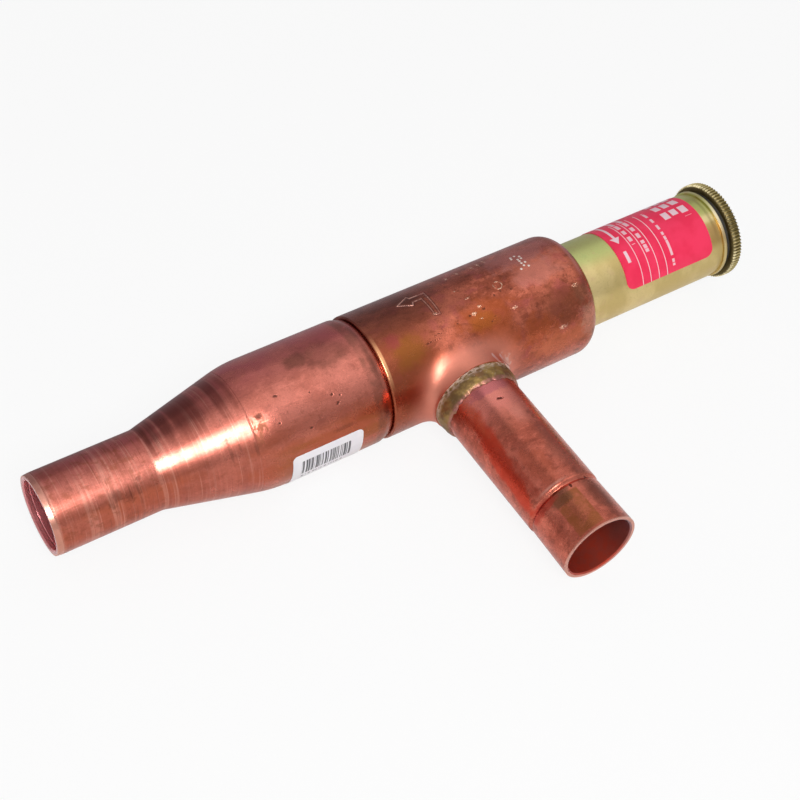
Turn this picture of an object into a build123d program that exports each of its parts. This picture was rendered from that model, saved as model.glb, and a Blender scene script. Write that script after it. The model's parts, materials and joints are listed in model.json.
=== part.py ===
from build123d import *
import math
import os

# Refrigerant pressure regulating valve: a spun copper body with a straight outlet, a brazed side
# inlet, and a plated spring housing closed by a knurled cap. Lengths are millimetres.
#
# The main line is the X axis. x = 0 is the mouth of the outlet socket, and the inlet branch points
# along -Y. Distances along the branch are measured from the main line. A driving dimension is set
# once here, and every piece that fits another takes its size from the same values.

# Body and outlet
BODY_OD = 30.0
SHELL_WALL = 1.2
OUTLET_WALL = 1.3
OUTLET_TIP_DROP = 0.15
OUTLET_TIP_LENGTH = 1.3
CONE_START_X = 24.9
CONE_END_X = 49.4
CONE_END_RADIUS = 30.0
CONE_START_RADIUS = 3.0
SEAM_X = 79.0
SEAM_GAP = 0.2
NECK_LENGTH = 2.2
NECK_DEPTH = 0.75
NECK_RADIUS = 3.0
SPIGOT_LENGTH = 5.8
BODY_LENGTH = 57.7
SHOULDER_RADIUS = 4.2
EDGE_RADIUS = 0.4

# Solder sockets for 16 mm (5/8 inch) tube
SOCKET_BORE = 16.1
SOCKET_DEPTH = 12.0
OUTLET_STOP_HEIGHT = 0.5
MOUTH_CHAMFER = 0.3

# Inlet branch
BRANCH_OFFSET = 19.8
BRANCH_REACH = 65.4
BRANCH_WALL = 1.01
BRANCH_TIP_FLARE = 0.02
BRANCH_NECK_DROP = 0.18
STOP_GROOVE_DEPTH = 0.45
STOP_GROOVE_WIDTH = 0.7
COLLAR_WALL = 1.2
COLLAR_HEIGHT = 1.9
COLLAR_BLEND = 1.75
BRANCH_SEAT_DEPTH = 2.6
BRANCH_SEAT_LIP = 0.7
BRAZE_LENGTH = 4.8
BRAZE_CREST = 1.68
BRAZE_STEP = 0.12

# Spring housing
HOUSING_OD = 21.5
HOUSING_LENGTH = 41.5
HOUSING_FLANGE_LENGTH = 6.9
HOUSING_WEB = 3.5
SPRING_BORE = 18.8
THREAD_BORE = 17.1
THREAD_BORE_LENGTH = 19.5
LIP_HEIGHT = 0.3
LIP_LENGTH = 1.0
LIP_GROOVE_DEPTH = 0.2
LIP_GROOVE_LENGTH = 0.9

# Cap and gasket
CAP_OD = 24.3
CAP_RIM_WIDTH = 2.9
CAP_BEVEL_DROP = 0.5
CAP_BEVEL_LENGTH = 0.5
CAP_CROWN = 2.6
CAP_SHANK_LENGTH = 7.9
CAP_SHANK_WALL = 1.3
CAP_NECK_DEPTH = 0.5
KNURL_TEETH = 96
KNURL_DEPTH = 0.35
GASKET_OD = 20.8
GASKET_THICKNESS = 1.1

# Setting screw and main spring
SCREW_LENGTH = 8.0
SCREW_GAP_TO_CAP = 2.5
HEX_ACROSS_FLATS = 8.0
HEX_DEPTH = 5.0
SCREW_POINT_RADIUS = 2.2
SCREW_POINT_LENGTH = 1.2
SPRING_PLATE_OD = 16.6
SPRING_PLATE_THICKNESS = 2.4
SPRING_SPIGOT_LENGTH = 2.4
SPRING_MEAN_DIAMETER = 13.8
SPRING_WIRE = 2.0
SPRING_WIRE_SIDES = 8
SPRING_TURNS = 6.0

# Valve seat, plate and stem
SEAT_RING_THICKNESS = 3.4
PORT_BORE = 13.0
SEAT_LIP_WIDTH = 0.8
SEAT_LIP_HEIGHT = 0.8
VALVE_LIFT = 3.0
PLATE_RIM = 0.9
PLATE_THICKNESS = 2.6
SEAL_WIDTH = 2.0
SEAL_DEPTH = 0.8
SEAL_PROUD = 0.2
STEM_OD = 4.0
STEM_COLLAR_OD = 6.4
STEM_COLLAR_LENGTH = 1.2
NUT_ACROSS_FLATS = 7.0
NUT_THICKNESS = 2.4

# Bellows between stem and housing
BELLOWS_OD = 18.4
BELLOWS_ROOT_OD = 12.9
BELLOWS_WALL = 0.2
BELLOWS_CONVOLUTIONS = 9
CUFF_LENGTH = 1.8
BELLOWS_RING_OD = 15.0
BELLOWS_RING_THICKNESS = 1.8
BELLOWS_FLAT_SHARE = 0.48
BELLOWS_FLANK_SHARE = 0.14
MOVING_RING_GAP = 1.8

# Guide bush and clip on the stem
GUIDE_OD = 8.0
GUIDE_FLANGE_OD = 10.4
GUIDE_FLANGE_THICKNESS = 0.9
GUIDE_REACH = 4.0
CLIP_OD = 7.0
CLIP_THICKNESS = 0.8
CLIP_GROOVE_DEPTH = 0.5

# Damper cage on the outlet side
CAGE_WALL = 1.3
CAGE_LEGS = 3
CAGE_LEG_WIDTH = 3.2
CAGE_RING_LENGTH = 3.0
CAGE_SLEEVE_LENGTH = 7.6
CAGE_CONE_LENGTH = 4.2
DAMPER_BORE = 8.0
DAMPER_WALL = 1.4
DAMPER_LENGTH = 10.0
DAMPER_BLEED = 1.2
PISTON_LENGTH = 3.0
PISTON_END_GAP = 1.6
PISTON_RING_WIDTH = 1.0
PISTON_RING_DEPTH = 0.7

# Labels
NAME_LABEL_LENGTH = 26.2
NAME_LABEL_INSET = 4.5
NAME_LABEL_START_ANGLE = 161.0
NAME_LABEL_SWEEP_ANGLE = 214.0
NAME_LABEL_CORNER = 2.2
BAR_LABEL_MARGIN = 3.4
BAR_LABEL_LENGTH = 17.8
BAR_LABEL_START_ANGLE = 169.0
BAR_LABEL_SWEEP_ANGLE = 56.0
BAR_LABEL_CORNER = 1.2
LABEL_THICKNESS = 0.1

# Fits, as radial or face-to-face clearances
BRAZE_FIT = 0.05
FACE_GAP = 0.1
RUNNING_FIT = 0.05
THREAD_FIT = 0.05
SPRING_PLATE_HUB_FIT = 0.3
PRESS_GAP = 0.02
LABEL_GLUE = 0.02
CUT_OVERRUN = 1.0

# Radii and stations that several pieces share
body_r = BODY_OD / 2
body_bore_r = body_r - SHELL_WALL
body_end_x = SEAM_X + BODY_LENGTH
housing_r = HOUSING_OD / 2
housing_end_x = body_end_x + HOUSING_LENGTH
spigot_r = body_bore_r - BRAZE_FIT
spigot_bore_r = spigot_r - SHELL_WALL
spigot_end_x = SEAM_X + SPIGOT_LENGTH
socket_r = SOCKET_BORE / 2
outlet_r = socket_r + OUTLET_WALL
branch_x = SEAM_X + BRANCH_OFFSET
branch_r = socket_r + BRANCH_WALL
branch_tip_r = branch_r + BRANCH_TIP_FLARE
branch_bore_r = branch_r - branch_tip_r + socket_r
collar_bore_r = branch_r + BRAZE_FIT
collar_r = collar_bore_r + COLLAR_WALL
collar_reach = body_r + COLLAR_HEIGHT
branch_seat_reach = collar_reach - BRANCH_SEAT_DEPTH
thread_bore_r = THREAD_BORE / 2
thread_r = thread_bore_r - THREAD_FIT
stem_r = STEM_OD / 2
port_r = PORT_BORE / 2
seal_middle_r = port_r + SEAT_LIP_WIDTH / 2
seal_inner_r = seal_middle_r - SEAL_WIDTH / 2
seal_outer_r = seal_middle_r + SEAL_WIDTH / 2

# Valve train, from the seat towards the outlet and from the housing towards the cap
seat_lip_x = spigot_end_x - SEAT_LIP_HEIGHT
seal_face_x = seat_lip_x - RUNNING_FIT - VALVE_LIFT
plate_face_x = seal_face_x - SEAL_PROUD
plate_back_x = plate_face_x - PLATE_THICKNESS
nut_end_x = plate_back_x - NUT_THICKNESS
cage_cone_end_x = spigot_end_x - CAGE_SLEEVE_LENGTH
cage_cone_start_x = cage_cone_end_x - CAGE_CONE_LENGTH
damper_end_x = cage_cone_start_x - DAMPER_LENGTH
damper_floor_x = damper_end_x + DAMPER_WALL
stem_start_x = damper_floor_x + PISTON_END_GAP
shoulder_r = min(SHOULDER_RADIUS, SHELL_WALL + spigot_r - housing_r - PRESS_GAP)
flange_end_x = body_end_x - SHELL_WALL - FACE_GAP
flange_start_x = flange_end_x - HOUSING_FLANGE_LENGTH
web_end_x = flange_start_x + HOUSING_WEB
guide_end_x = web_end_x + GUIDE_FLANGE_THICKNESS
clip_x = guide_end_x + FACE_GAP
lower_plate_x = clip_x + CLIP_THICKNESS
spring_start_x = lower_plate_x + SPRING_PLATE_THICKNESS
stem_end_x = spring_start_x + SPRING_SPIGOT_LENGTH - EDGE_RADIUS
gasket_end_x = housing_end_x + GASKET_THICKNESS
cap_shank_x = gasket_end_x - CAP_SHANK_LENGTH
screw_end_x = cap_shank_x - SCREW_GAP_TO_CAP
screw_start_x = screw_end_x - SCREW_LENGTH
upper_plate_end_x = screw_start_x - FACE_GAP
spring_end_x = upper_plate_end_x - SPRING_PLATE_THICKNESS
fixed_ring_x = flange_start_x - BELLOWS_RING_THICKNESS
moving_ring_x = spigot_end_x + SEAT_RING_THICKNESS + MOVING_RING_GAP
moving_ring_end_x = moving_ring_x + BELLOWS_RING_THICKNESS


def closed_outline(corners):
    """Closed wire through (a, b) or (a, b, corner radius) entries."""
    points = [(entry[0], entry[1]) for entry in corners]
    radii = [entry[2] if len(entry) > 2 else 0 for entry in corners]
    if any(radii):
        return FilletPolyline(*points, radius=radii, close=True)
    return Polyline(*points, close=True)


def turned(corners, sweep=360.0):
    """Solid turned about the main line from (x, radius) corners."""
    return revolve(make_face(closed_outline(corners)), Axis.X, sweep)


def turned_on_branch(corners):
    """Solid turned about the branch from (distance from the main line, radius) corners."""
    branch_side = Rotation(0, 0, -90) * turned(corners)
    return Pos(branch_x, 0, 0) * branch_side


def rod(start_x, end_x, radius):
    """Plain cylinder on the main line."""
    return turned([(start_x, 0), (start_x, radius), (end_x, radius), (end_x, 0)])


def hex_bar(start_x, length, across_flats):
    """Hexagonal prism on the main line, growing towards +X."""
    profile = Plane.YZ.offset(start_x) * RegularPolygon(across_flats / 2, 6, major_radius=False)
    return extrude(profile, length)


def outlet_reducer():
    """Spun copper reducer: solder socket, cone, full bore, and the neck that enters the body."""
    neck_x = SEAM_X - SEAM_GAP
    stop_r = socket_r - OUTLET_STOP_HEIGHT
    neck_bore_x = neck_x - NECK_LENGTH
    return turned([
        (0, outlet_r - OUTLET_TIP_DROP),
        (OUTLET_TIP_LENGTH, outlet_r),
        (CONE_START_X, outlet_r, CONE_START_RADIUS),
        (CONE_END_X, body_r, CONE_END_RADIUS),
        (neck_x - NECK_LENGTH, body_r, NECK_RADIUS),
        (neck_x, body_r - NECK_DEPTH, EDGE_RADIUS / 2),
        (neck_x, spigot_r),
        (spigot_end_x, spigot_r),
        (spigot_end_x, spigot_bore_r),
        (neck_bore_x, spigot_bore_r),
        (neck_bore_x - NECK_LENGTH, body_bore_r, NECK_RADIUS),
        (CONE_END_X, body_bore_r, CONE_END_RADIUS),
        (CONE_START_X, stop_r, CONE_START_RADIUS),
        (SOCKET_DEPTH + OUTLET_STOP_HEIGHT, stop_r),
        (SOCKET_DEPTH, socket_r),
        (MOUTH_CHAMFER, socket_r),
        (0, socket_r + MOUTH_CHAMFER),
    ])


def body_shell():
    """Copper tee: a tube spun in over the housing flange, with a collar pulled for the branch."""
    outside = turned([
        (SEAM_X, 0),
        (SEAM_X, body_r, EDGE_RADIUS),
        (body_end_x, body_r, shoulder_r),
        (body_end_x, 0),
    ])
    collar = turned_on_branch([(0, 0), (0, collar_r), (collar_reach, collar_r), (collar_reach, 0)])
    tee = outside + collar
    rim = [edge for edge in tee.edges() if on_collar_foot(edge)]
    tee = fillet(rim, min(COLLAR_BLEND, COLLAR_HEIGHT - BRAZE_STEP))
    bore = turned([
        (SEAM_X - SEAM_GAP, 0),
        (SEAM_X - SEAM_GAP, body_bore_r),
        (body_end_x - SHELL_WALL, body_bore_r, shoulder_r - SHELL_WALL),
        (body_end_x - SHELL_WALL, 0),
    ])
    housing_hole = rod(body_end_x - 2 * SHELL_WALL, body_end_x + SHELL_WALL, housing_r + BRAZE_FIT)
    port_hole_r = branch_r - BRANCH_SEAT_LIP
    branch_hole = turned_on_branch([
        (0, 0),
        (0, port_hole_r),
        (branch_seat_reach, port_hole_r),
        (branch_seat_reach, collar_bore_r),
        (collar_reach + SHELL_WALL, collar_bore_r),
        (collar_reach + SHELL_WALL, 0),
    ])
    return tee - bore - housing_hole - branch_hole


def on_collar_foot(edge):
    """True for the curved edge where the pulled collar leaves the body tube."""
    middle = edge @ 0.5
    radius = math.hypot(middle.X - branch_x, middle.Z)
    reach = -middle.Y
    return abs(radius - collar_r) < 0.01 and 0 < reach < collar_reach - 0.01


def inlet_tube():
    """Branch tube with a rolled stop groove behind its solder socket."""
    groove_end = BRANCH_REACH - SOCKET_DEPTH
    groove_middle = groove_end - STOP_GROOVE_WIDTH
    groove_start = groove_middle - STOP_GROOVE_WIDTH
    neck_r = branch_r - BRANCH_NECK_DROP
    return turned_on_branch([
        (branch_seat_reach, branch_bore_r),
        (branch_seat_reach, branch_r),
        (groove_start, branch_r, EDGE_RADIUS),
        (groove_middle, neck_r - STOP_GROOVE_DEPTH, EDGE_RADIUS / 2),
        (groove_end, neck_r, EDGE_RADIUS),
        (BRANCH_REACH, branch_tip_r),
        (BRANCH_REACH, socket_r + MOUTH_CHAMFER),
        (BRANCH_REACH - MOUTH_CHAMFER, socket_r),
        (groove_end, socket_r),
        (groove_middle, socket_r - STOP_GROOVE_DEPTH, EDGE_RADIUS),
        (groove_start - STOP_GROOVE_WIDTH, branch_bore_r, EDGE_RADIUS),
    ])


def inlet_braze_ring():
    """Braze fillet that runs from the collar's end onto the branch tube."""
    end = collar_reach + BRAZE_LENGTH
    inner_r = branch_r + PRESS_GAP
    outer_r = collar_r - BRAZE_STEP
    return turned_on_branch([
        (collar_reach, inner_r),
        (collar_reach, outer_r),
        (collar_reach + BRAZE_CREST, outer_r - BRAZE_STEP, BRAZE_LENGTH / 2),
        (end - BRAZE_STEP, inner_r + BRAZE_STEP),
        (end, inner_r),
    ])


def spring_housing():
    """Plated steel housing turned from bar, with a flange and web inside the body."""
    groove_end_x = housing_end_x - LIP_LENGTH
    groove_start_x = groove_end_x - LIP_GROOVE_LENGTH
    groove_r = housing_r - LIP_GROOVE_DEPTH
    lip_r = housing_r + LIP_HEIGHT
    spring_bore_r = SPRING_BORE / 2
    thread_start_x = housing_end_x - THREAD_BORE_LENGTH
    return turned([
        (flange_start_x, GUIDE_OD / 2),
        (flange_start_x, spigot_r),
        (flange_end_x, spigot_r, shoulder_r - SHELL_WALL),
        (flange_end_x, housing_r),
        (groove_start_x - LIP_GROOVE_LENGTH, housing_r, EDGE_RADIUS),
        (groove_start_x, groove_r, EDGE_RADIUS),
        (groove_end_x, groove_r),
        (groove_end_x, lip_r, EDGE_RADIUS / 2),
        (housing_end_x, lip_r, EDGE_RADIUS / 2),
        (housing_end_x, thread_bore_r + MOUTH_CHAMFER),
        (housing_end_x - MOUTH_CHAMFER, thread_bore_r),
        (thread_start_x, thread_bore_r),
        (thread_start_x - MOUTH_CHAMFER, spring_bore_r),
        (web_end_x, spring_bore_r, EDGE_RADIUS),
        (web_end_x, GUIDE_OD / 2),
    ])


def knurled_rim(start_x, end_x):
    """Rim with straight knurling and rounded edges."""
    crest_r = CAP_OD / 2
    root_r = crest_r - KNURL_DEPTH
    pitch = 2 * math.pi / KNURL_TEETH
    corners = []
    for tooth in range(KNURL_TEETH):
        crest_angle = tooth * pitch
        root_angle = crest_angle + pitch / 2
        corners.append((crest_r * math.cos(crest_angle), crest_r * math.sin(crest_angle)))
        corners.append((root_r * math.cos(root_angle), root_r * math.sin(root_angle)))
    star = Plane.YZ.offset(start_x) * make_face(Polyline(*corners, close=True))
    land_r = crest_r - CAP_BEVEL_DROP
    envelope = turned([
        (start_x, 0),
        (start_x, land_r),
        (start_x + CAP_BEVEL_LENGTH, crest_r),
        (end_x - CAP_BEVEL_LENGTH, crest_r),
        (end_x, land_r),
        (end_x, 0),
    ])
    return extrude(star, end_x - start_x) & envelope


def protective_cap():
    """Knurled cap with a hollow threaded shank that screws into the housing mouth."""
    rim_end_x = gasket_end_x + CAP_RIM_WIDTH
    neck_r = thread_r - CAP_NECK_DEPTH
    neck_x = gasket_end_x - 2 * GASKET_THICKNESS
    shank = turned([
        (cap_shank_x, 0),
        (cap_shank_x, thread_r - MOUTH_CHAMFER),
        (cap_shank_x + MOUTH_CHAMFER, thread_r),
        (neck_x, thread_r),
        (neck_x + CAP_NECK_DEPTH, neck_r),
        (gasket_end_x, neck_r),
        (gasket_end_x, 0),
    ])
    hollow_r = thread_r - CAP_SHANK_WALL
    hollow = rod(cap_shank_x - CUT_OVERRUN, rim_end_x - CAP_CROWN, hollow_r)
    return knurled_rim(gasket_end_x, rim_end_x) + shank - hollow


def cap_gasket():
    """Flat gasket under the cap's rim."""
    inner_r = thread_bore_r + FACE_GAP
    outer_r = GASKET_OD / 2
    return turned([
        (housing_end_x, inner_r),
        (housing_end_x, outer_r),
        (gasket_end_x, outer_r),
        (gasket_end_x, inner_r),
    ])


def setting_screw():
    """Threaded plug with a hex socket and a pointed nose that turns in the spring seat."""
    blank = turned([
        (screw_start_x - SCREW_POINT_LENGTH, 0),
        (screw_start_x, SCREW_POINT_RADIUS),
        (screw_start_x, thread_r - MOUTH_CHAMFER),
        (screw_start_x + MOUTH_CHAMFER, thread_r),
        (screw_end_x - MOUTH_CHAMFER, thread_r),
        (screw_end_x, thread_r - MOUTH_CHAMFER),
        (screw_end_x, 0),
    ])
    return blank - hex_bar(screw_end_x - HEX_DEPTH, HEX_DEPTH + CUT_OVERRUN, HEX_ACROSS_FLATS)


def spring_spigot_r():
    """Radius of the spigots that centre the main spring."""
    return SPRING_MEAN_DIAMETER / 2 - SPRING_WIRE / 2 - SPRING_PLATE_HUB_FIT


def upper_spring_seat():
    """Sliding seat between the main spring and the setting screw."""
    spigot_r = spring_spigot_r()
    dimple_r = SCREW_POINT_RADIUS + FACE_GAP
    return turned([
        (spring_end_x - SPRING_SPIGOT_LENGTH, 0),
        (spring_end_x - SPRING_SPIGOT_LENGTH, spigot_r - EDGE_RADIUS),
        (spring_end_x - SPRING_SPIGOT_LENGTH + EDGE_RADIUS, spigot_r),
        (spring_end_x, spigot_r),
        (spring_end_x, SPRING_PLATE_OD / 2),
        (upper_plate_end_x, SPRING_PLATE_OD / 2),
        (upper_plate_end_x, dimple_r),
        (upper_plate_end_x - SCREW_POINT_LENGTH, 0),
    ])


def lower_spring_plate():
    """Plate on the stem that carries the lower end of the main spring."""
    spigot_r = spring_spigot_r()
    hole_r = stem_r + PRESS_GAP
    spigot_end_x = spring_start_x + SPRING_SPIGOT_LENGTH
    return turned([
        (lower_plate_x, hole_r),
        (lower_plate_x, SPRING_PLATE_OD / 2),
        (spring_start_x, SPRING_PLATE_OD / 2),
        (spring_start_x, spigot_r),
        (spigot_end_x - EDGE_RADIUS, spigot_r),
        (spigot_end_x, spigot_r - EDGE_RADIUS),
        (spigot_end_x, hole_r),
    ])


def main_spring():
    """Compression spring with both ends ground flat; its wire is an even-sided prism."""
    length = spring_end_x - spring_start_x
    pitch = length / SPRING_TURNS
    coil_r = SPRING_MEAN_DIAMETER / 2
    path = Helix(pitch, length + pitch, coil_r)
    wire = Plane(path @ 0, z_dir=path % 0) * RegularPolygon(SPRING_WIRE / 2, SPRING_WIRE_SIDES)
    coil = sweep(wire, path, is_frenet=True)
    coil = Pos(spring_start_x - pitch / 2, 0, 0) * (Rotation(0, 90, 0) * coil)
    return coil & rod(spring_start_x, spring_end_x, coil_r + SPRING_WIRE)


def stem_guide():
    """Bronze bush pressed into the housing web and the fixed bellows ring."""
    bore_r = stem_r + RUNNING_FIT
    guide_r = GUIDE_OD / 2 - PRESS_GAP
    return turned([
        (fixed_ring_x - GUIDE_REACH, bore_r),
        (fixed_ring_x - GUIDE_REACH, guide_r),
        (web_end_x, guide_r),
        (web_end_x, GUIDE_FLANGE_OD / 2),
        (guide_end_x, GUIDE_FLANGE_OD / 2),
        (guide_end_x, bore_r),
    ])


def retaining_clip():
    """Open retaining clip in the stem groove, under the lower spring plate."""
    ring = turned([
        (clip_x, stem_r - CLIP_GROOVE_DEPTH + PRESS_GAP),
        (clip_x, CLIP_OD / 2),
        (lower_plate_x, CLIP_OD / 2),
        (lower_plate_x, stem_r - CLIP_GROOVE_DEPTH + PRESS_GAP),
    ])
    mouth = Pos(clip_x + CLIP_THICKNESS / 2, 0, CLIP_OD / 2) * Box(
        2 * CLIP_THICKNESS, STEM_OD - CLIP_GROOVE_DEPTH, CLIP_OD)
    return ring - mouth


def valve_stem():
    """Stem from the damper piston to the lower spring plate, with a collar behind the plate."""
    collar_end_x = plate_face_x + STEM_COLLAR_LENGTH
    groove_r = stem_r - CLIP_GROOVE_DEPTH
    return turned([
        (stem_start_x, 0),
        (stem_start_x, stem_r),
        (plate_face_x, stem_r),
        (plate_face_x, STEM_COLLAR_OD / 2),
        (collar_end_x, STEM_COLLAR_OD / 2),
        (collar_end_x, stem_r),
        (clip_x, stem_r),
        (clip_x, groove_r),
        (lower_plate_x, groove_r),
        (lower_plate_x, stem_r),
        (stem_end_x, stem_r),
        (stem_end_x, 0),
    ])


def seat_ring():
    """Brass ring held behind the reducer's spigot, with a raised lip round the port."""
    return turned([
        (seat_lip_x, port_r),
        (seat_lip_x, port_r + SEAT_LIP_WIDTH),
        (spigot_end_x, port_r + SEAT_LIP_WIDTH),
        (spigot_end_x, spigot_r),
        (spigot_end_x + SEAT_RING_THICKNESS, spigot_r),
        (spigot_end_x + SEAT_RING_THICKNESS, port_r + SEAT_LIP_WIDTH),
        (spigot_end_x + SEAT_RING_THICKNESS - SEAT_LIP_WIDTH, port_r),
    ])


def valve_plate():
    """Valve plate with an annular recess for its sealing ring."""
    plate_r = seal_outer_r + PLATE_RIM
    recess_x = plate_face_x - SEAL_DEPTH
    hole_r = stem_r + PRESS_GAP
    return turned([
        (plate_back_x, hole_r),
        (plate_back_x, plate_r - EDGE_RADIUS),
        (plate_back_x + EDGE_RADIUS, plate_r),
        (plate_face_x, plate_r),
        (plate_face_x, seal_outer_r + PRESS_GAP),
        (recess_x, seal_outer_r + PRESS_GAP),
        (recess_x, seal_inner_r - PRESS_GAP),
        (plate_face_x, seal_inner_r - PRESS_GAP),
        (plate_face_x, hole_r),
    ])


def plate_seal():
    """Sealing ring that closes on the seat lip."""
    recess_x = plate_face_x - SEAL_DEPTH
    return turned([
        (recess_x, seal_inner_r),
        (recess_x, seal_outer_r),
        (seal_face_x, seal_outer_r),
        (seal_face_x, seal_inner_r),
    ])


def plate_nut():
    """Hexagon nut that clamps the plate against the stem collar."""
    blank = hex_bar(nut_end_x, NUT_THICKNESS, NUT_ACROSS_FLATS)
    return blank - rod(nut_end_x - CUT_OVERRUN, plate_back_x + CUT_OVERRUN, stem_r + PRESS_GAP)


def bellows():
    """Metal bellows with plain cuffs at both ends and rounded convolutions between them."""
    crest_r = (BELLOWS_OD - BELLOWS_WALL) / 2
    root_r = (BELLOWS_ROOT_OD + BELLOWS_WALL) / 2
    start_x = moving_ring_end_x
    end_x = fixed_ring_x
    pitch = (end_x - start_x - 2 * CUFF_LENGTH) / BELLOWS_CONVOLUTIONS
    half_crest = BELLOWS_FLAT_SHARE * pitch / 2
    half_foot = half_crest + BELLOWS_FLANK_SHARE * pitch
    path = [(start_x, root_r)]
    for index in range(BELLOWS_CONVOLUTIONS):
        middle_x = start_x + CUFF_LENGTH + (index + 0.5) * pitch
        path += [
            (middle_x - half_foot, root_r),
            (middle_x - half_crest, crest_r),
            (middle_x + half_crest, crest_r),
            (middle_x + half_foot, root_r),
        ]
    path.append((end_x, root_r))
    return turned(ribbon(path, BELLOWS_WALL))


def ribbon(path, thickness):
    """Outline of an even strip whose centre line is the given polyline."""
    side_a, side_b = [], []
    for index, (x, r) in enumerate(path):
        before = path[max(index - 1, 0)]
        after = path[min(index + 1, len(path) - 1)]
        into = unit(x - before[0], r - before[1]) if index else unit(after[0] - x, after[1] - r)
        out = unit(after[0] - x, after[1] - r) if index < len(path) - 1 else into
        middle = unit(into[0] + out[0], into[1] + out[1])
        reach = thickness / 2 / (middle[0] * into[0] + middle[1] * into[1])
        side_a.append((x - middle[1] * reach, r + middle[0] * reach))
        side_b.append((x + middle[1] * reach, r - middle[0] * reach))
    return side_a + side_b[::-1]


def unit(a, b):
    """The vector (a, b) at length one."""
    length = math.hypot(a, b)
    return a / length, b / length


def bellows_ring(face_x, cuff_side, hole_r):
    """End ring of the bellows: a disc with a hub that fills the cuff on its inner side."""
    hub_r = BELLOWS_ROOT_OD / 2 - PRESS_GAP
    hub_x = face_x + cuff_side * CUFF_LENGTH
    back_x = face_x - cuff_side * BELLOWS_RING_THICKNESS
    return turned([
        (back_x, hole_r),
        (back_x, BELLOWS_RING_OD / 2),
        (face_x, BELLOWS_RING_OD / 2),
        (face_x, hub_r),
        (hub_x, hub_r),
        (hub_x, hole_r),
    ])


def damper_cage():
    """Cage in the reducer spigot: a ring, three legs and the damper cylinder they carry."""
    ring_r = spigot_bore_r - BRAZE_FIT
    leg_r = ring_r - CAGE_WALL
    bore_r = DAMPER_BORE / 2
    hub_r = bore_r + DAMPER_WALL
    cup = turned([
        (damper_end_x, DAMPER_BLEED / 2),
        (damper_end_x, hub_r - EDGE_RADIUS),
        (damper_end_x + EDGE_RADIUS, hub_r),
        (cage_cone_start_x - CAGE_WALL, hub_r),
        (cage_cone_end_x - CAGE_WALL, ring_r, NECK_RADIUS),
        (spigot_end_x, ring_r),
        (spigot_end_x, leg_r),
        (cage_cone_end_x, leg_r),
        (cage_cone_start_x, hub_r),
        (cage_cone_start_x, bore_r),
        (damper_floor_x, bore_r),
        (damper_floor_x, DAMPER_BLEED / 2),
    ])
    window_start_x = cage_cone_start_x - CAGE_WALL + EDGE_RADIUS
    window_end_x = spigot_end_x - CAGE_RING_LENGTH
    windows = turned([
        (window_start_x, hub_r + EDGE_RADIUS),
        (window_start_x, BODY_OD),
        (window_end_x, BODY_OD),
        (window_end_x, hub_r + EDGE_RADIUS),
    ])
    for leg in range(CAGE_LEGS):
        bar = Pos((window_start_x + window_end_x) / 2, 0, BODY_OD / 2) * Box(
            window_end_x - window_start_x, CAGE_LEG_WIDTH, BODY_OD)
        windows -= Rotation(360 * leg / CAGE_LEGS, 0, 0) * bar
    return cup - windows


def damper_piston():
    """Piston on the stem's tail, running in the damper cylinder."""
    piston_r = DAMPER_BORE / 2 - RUNNING_FIT
    groove_x = stem_start_x + (PISTON_LENGTH - PISTON_RING_WIDTH) / 2
    hole_r = stem_r + PRESS_GAP
    return turned([
        (stem_start_x, hole_r),
        (stem_start_x, piston_r),
        (groove_x, piston_r),
        (groove_x, piston_r - PISTON_RING_DEPTH),
        (groove_x + PISTON_RING_WIDTH, piston_r - PISTON_RING_DEPTH),
        (groove_x + PISTON_RING_WIDTH, piston_r),
        (stem_start_x + PISTON_LENGTH, piston_r),
        (stem_start_x + PISTON_LENGTH, hole_r),
    ])


def piston_ring():
    """Split ring in the piston's groove."""
    outer_r = DAMPER_BORE / 2 - RUNNING_FIT / 2
    inner_r = DAMPER_BORE / 2 - RUNNING_FIT - PISTON_RING_DEPTH + PRESS_GAP
    groove_x = stem_start_x + (PISTON_LENGTH - PISTON_RING_WIDTH) / 2
    start_x = groove_x + PRESS_GAP
    end_x = groove_x + PISTON_RING_WIDTH - PRESS_GAP
    ring = turned([(start_x, inner_r), (start_x, outer_r), (end_x, outer_r), (end_x, inner_r)])
    split = Pos(groove_x, 0, DAMPER_BORE / 2) * Box(
        3 * PISTON_RING_WIDTH, PISTON_RING_DEPTH, DAMPER_BORE / 2)
    return ring - split


def corner_cutter(x_side, angle_side, radius, reach):
    """What a rounded corner leaves over, as a radial block less a radial cylinder."""
    block = Pos(x_side * radius, angle_side * radius, reach) * Box(2 * radius, 2 * radius, reach)
    return block - Pos(0, 0, reach) * Cylinder(radius, 2 * reach)


def wrapped_label(start_x, length, under_r, start_angle, sweep_angle, corner):
    """Thin label wrapped round a tube. Angles run from +Y towards +Z about the main line."""
    inner_r = under_r + LABEL_GLUE
    label = turned([
        (start_x, inner_r),
        (start_x, inner_r + LABEL_THICKNESS),
        (start_x + length, inner_r + LABEL_THICKNESS),
        (start_x + length, inner_r),
    ], sweep_angle)
    inset_angle = math.degrees(corner / inner_r)
    for x_side, centre_x in ((-1, start_x + corner), (1, start_x + length - corner)):
        for angle_side, centre_angle in ((1, inset_angle), (-1, sweep_angle - inset_angle)):
            cutter = corner_cutter(x_side, angle_side, corner, inner_r)
            label -= Pos(centre_x, 0, 0) * Rotation(centre_angle - 90, 0, 0) * cutter
    return Rotation(start_angle, 0, 0) * label


def name_label():
    """Red label on the spring housing."""
    start_x = housing_end_x - NAME_LABEL_INSET - NAME_LABEL_LENGTH
    start_angle = NAME_LABEL_START_ANGLE - NAME_LABEL_SWEEP_ANGLE
    return wrapped_label(
        start_x, NAME_LABEL_LENGTH, housing_r, start_angle, NAME_LABEL_SWEEP_ANGLE,
        NAME_LABEL_CORNER)


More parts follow.
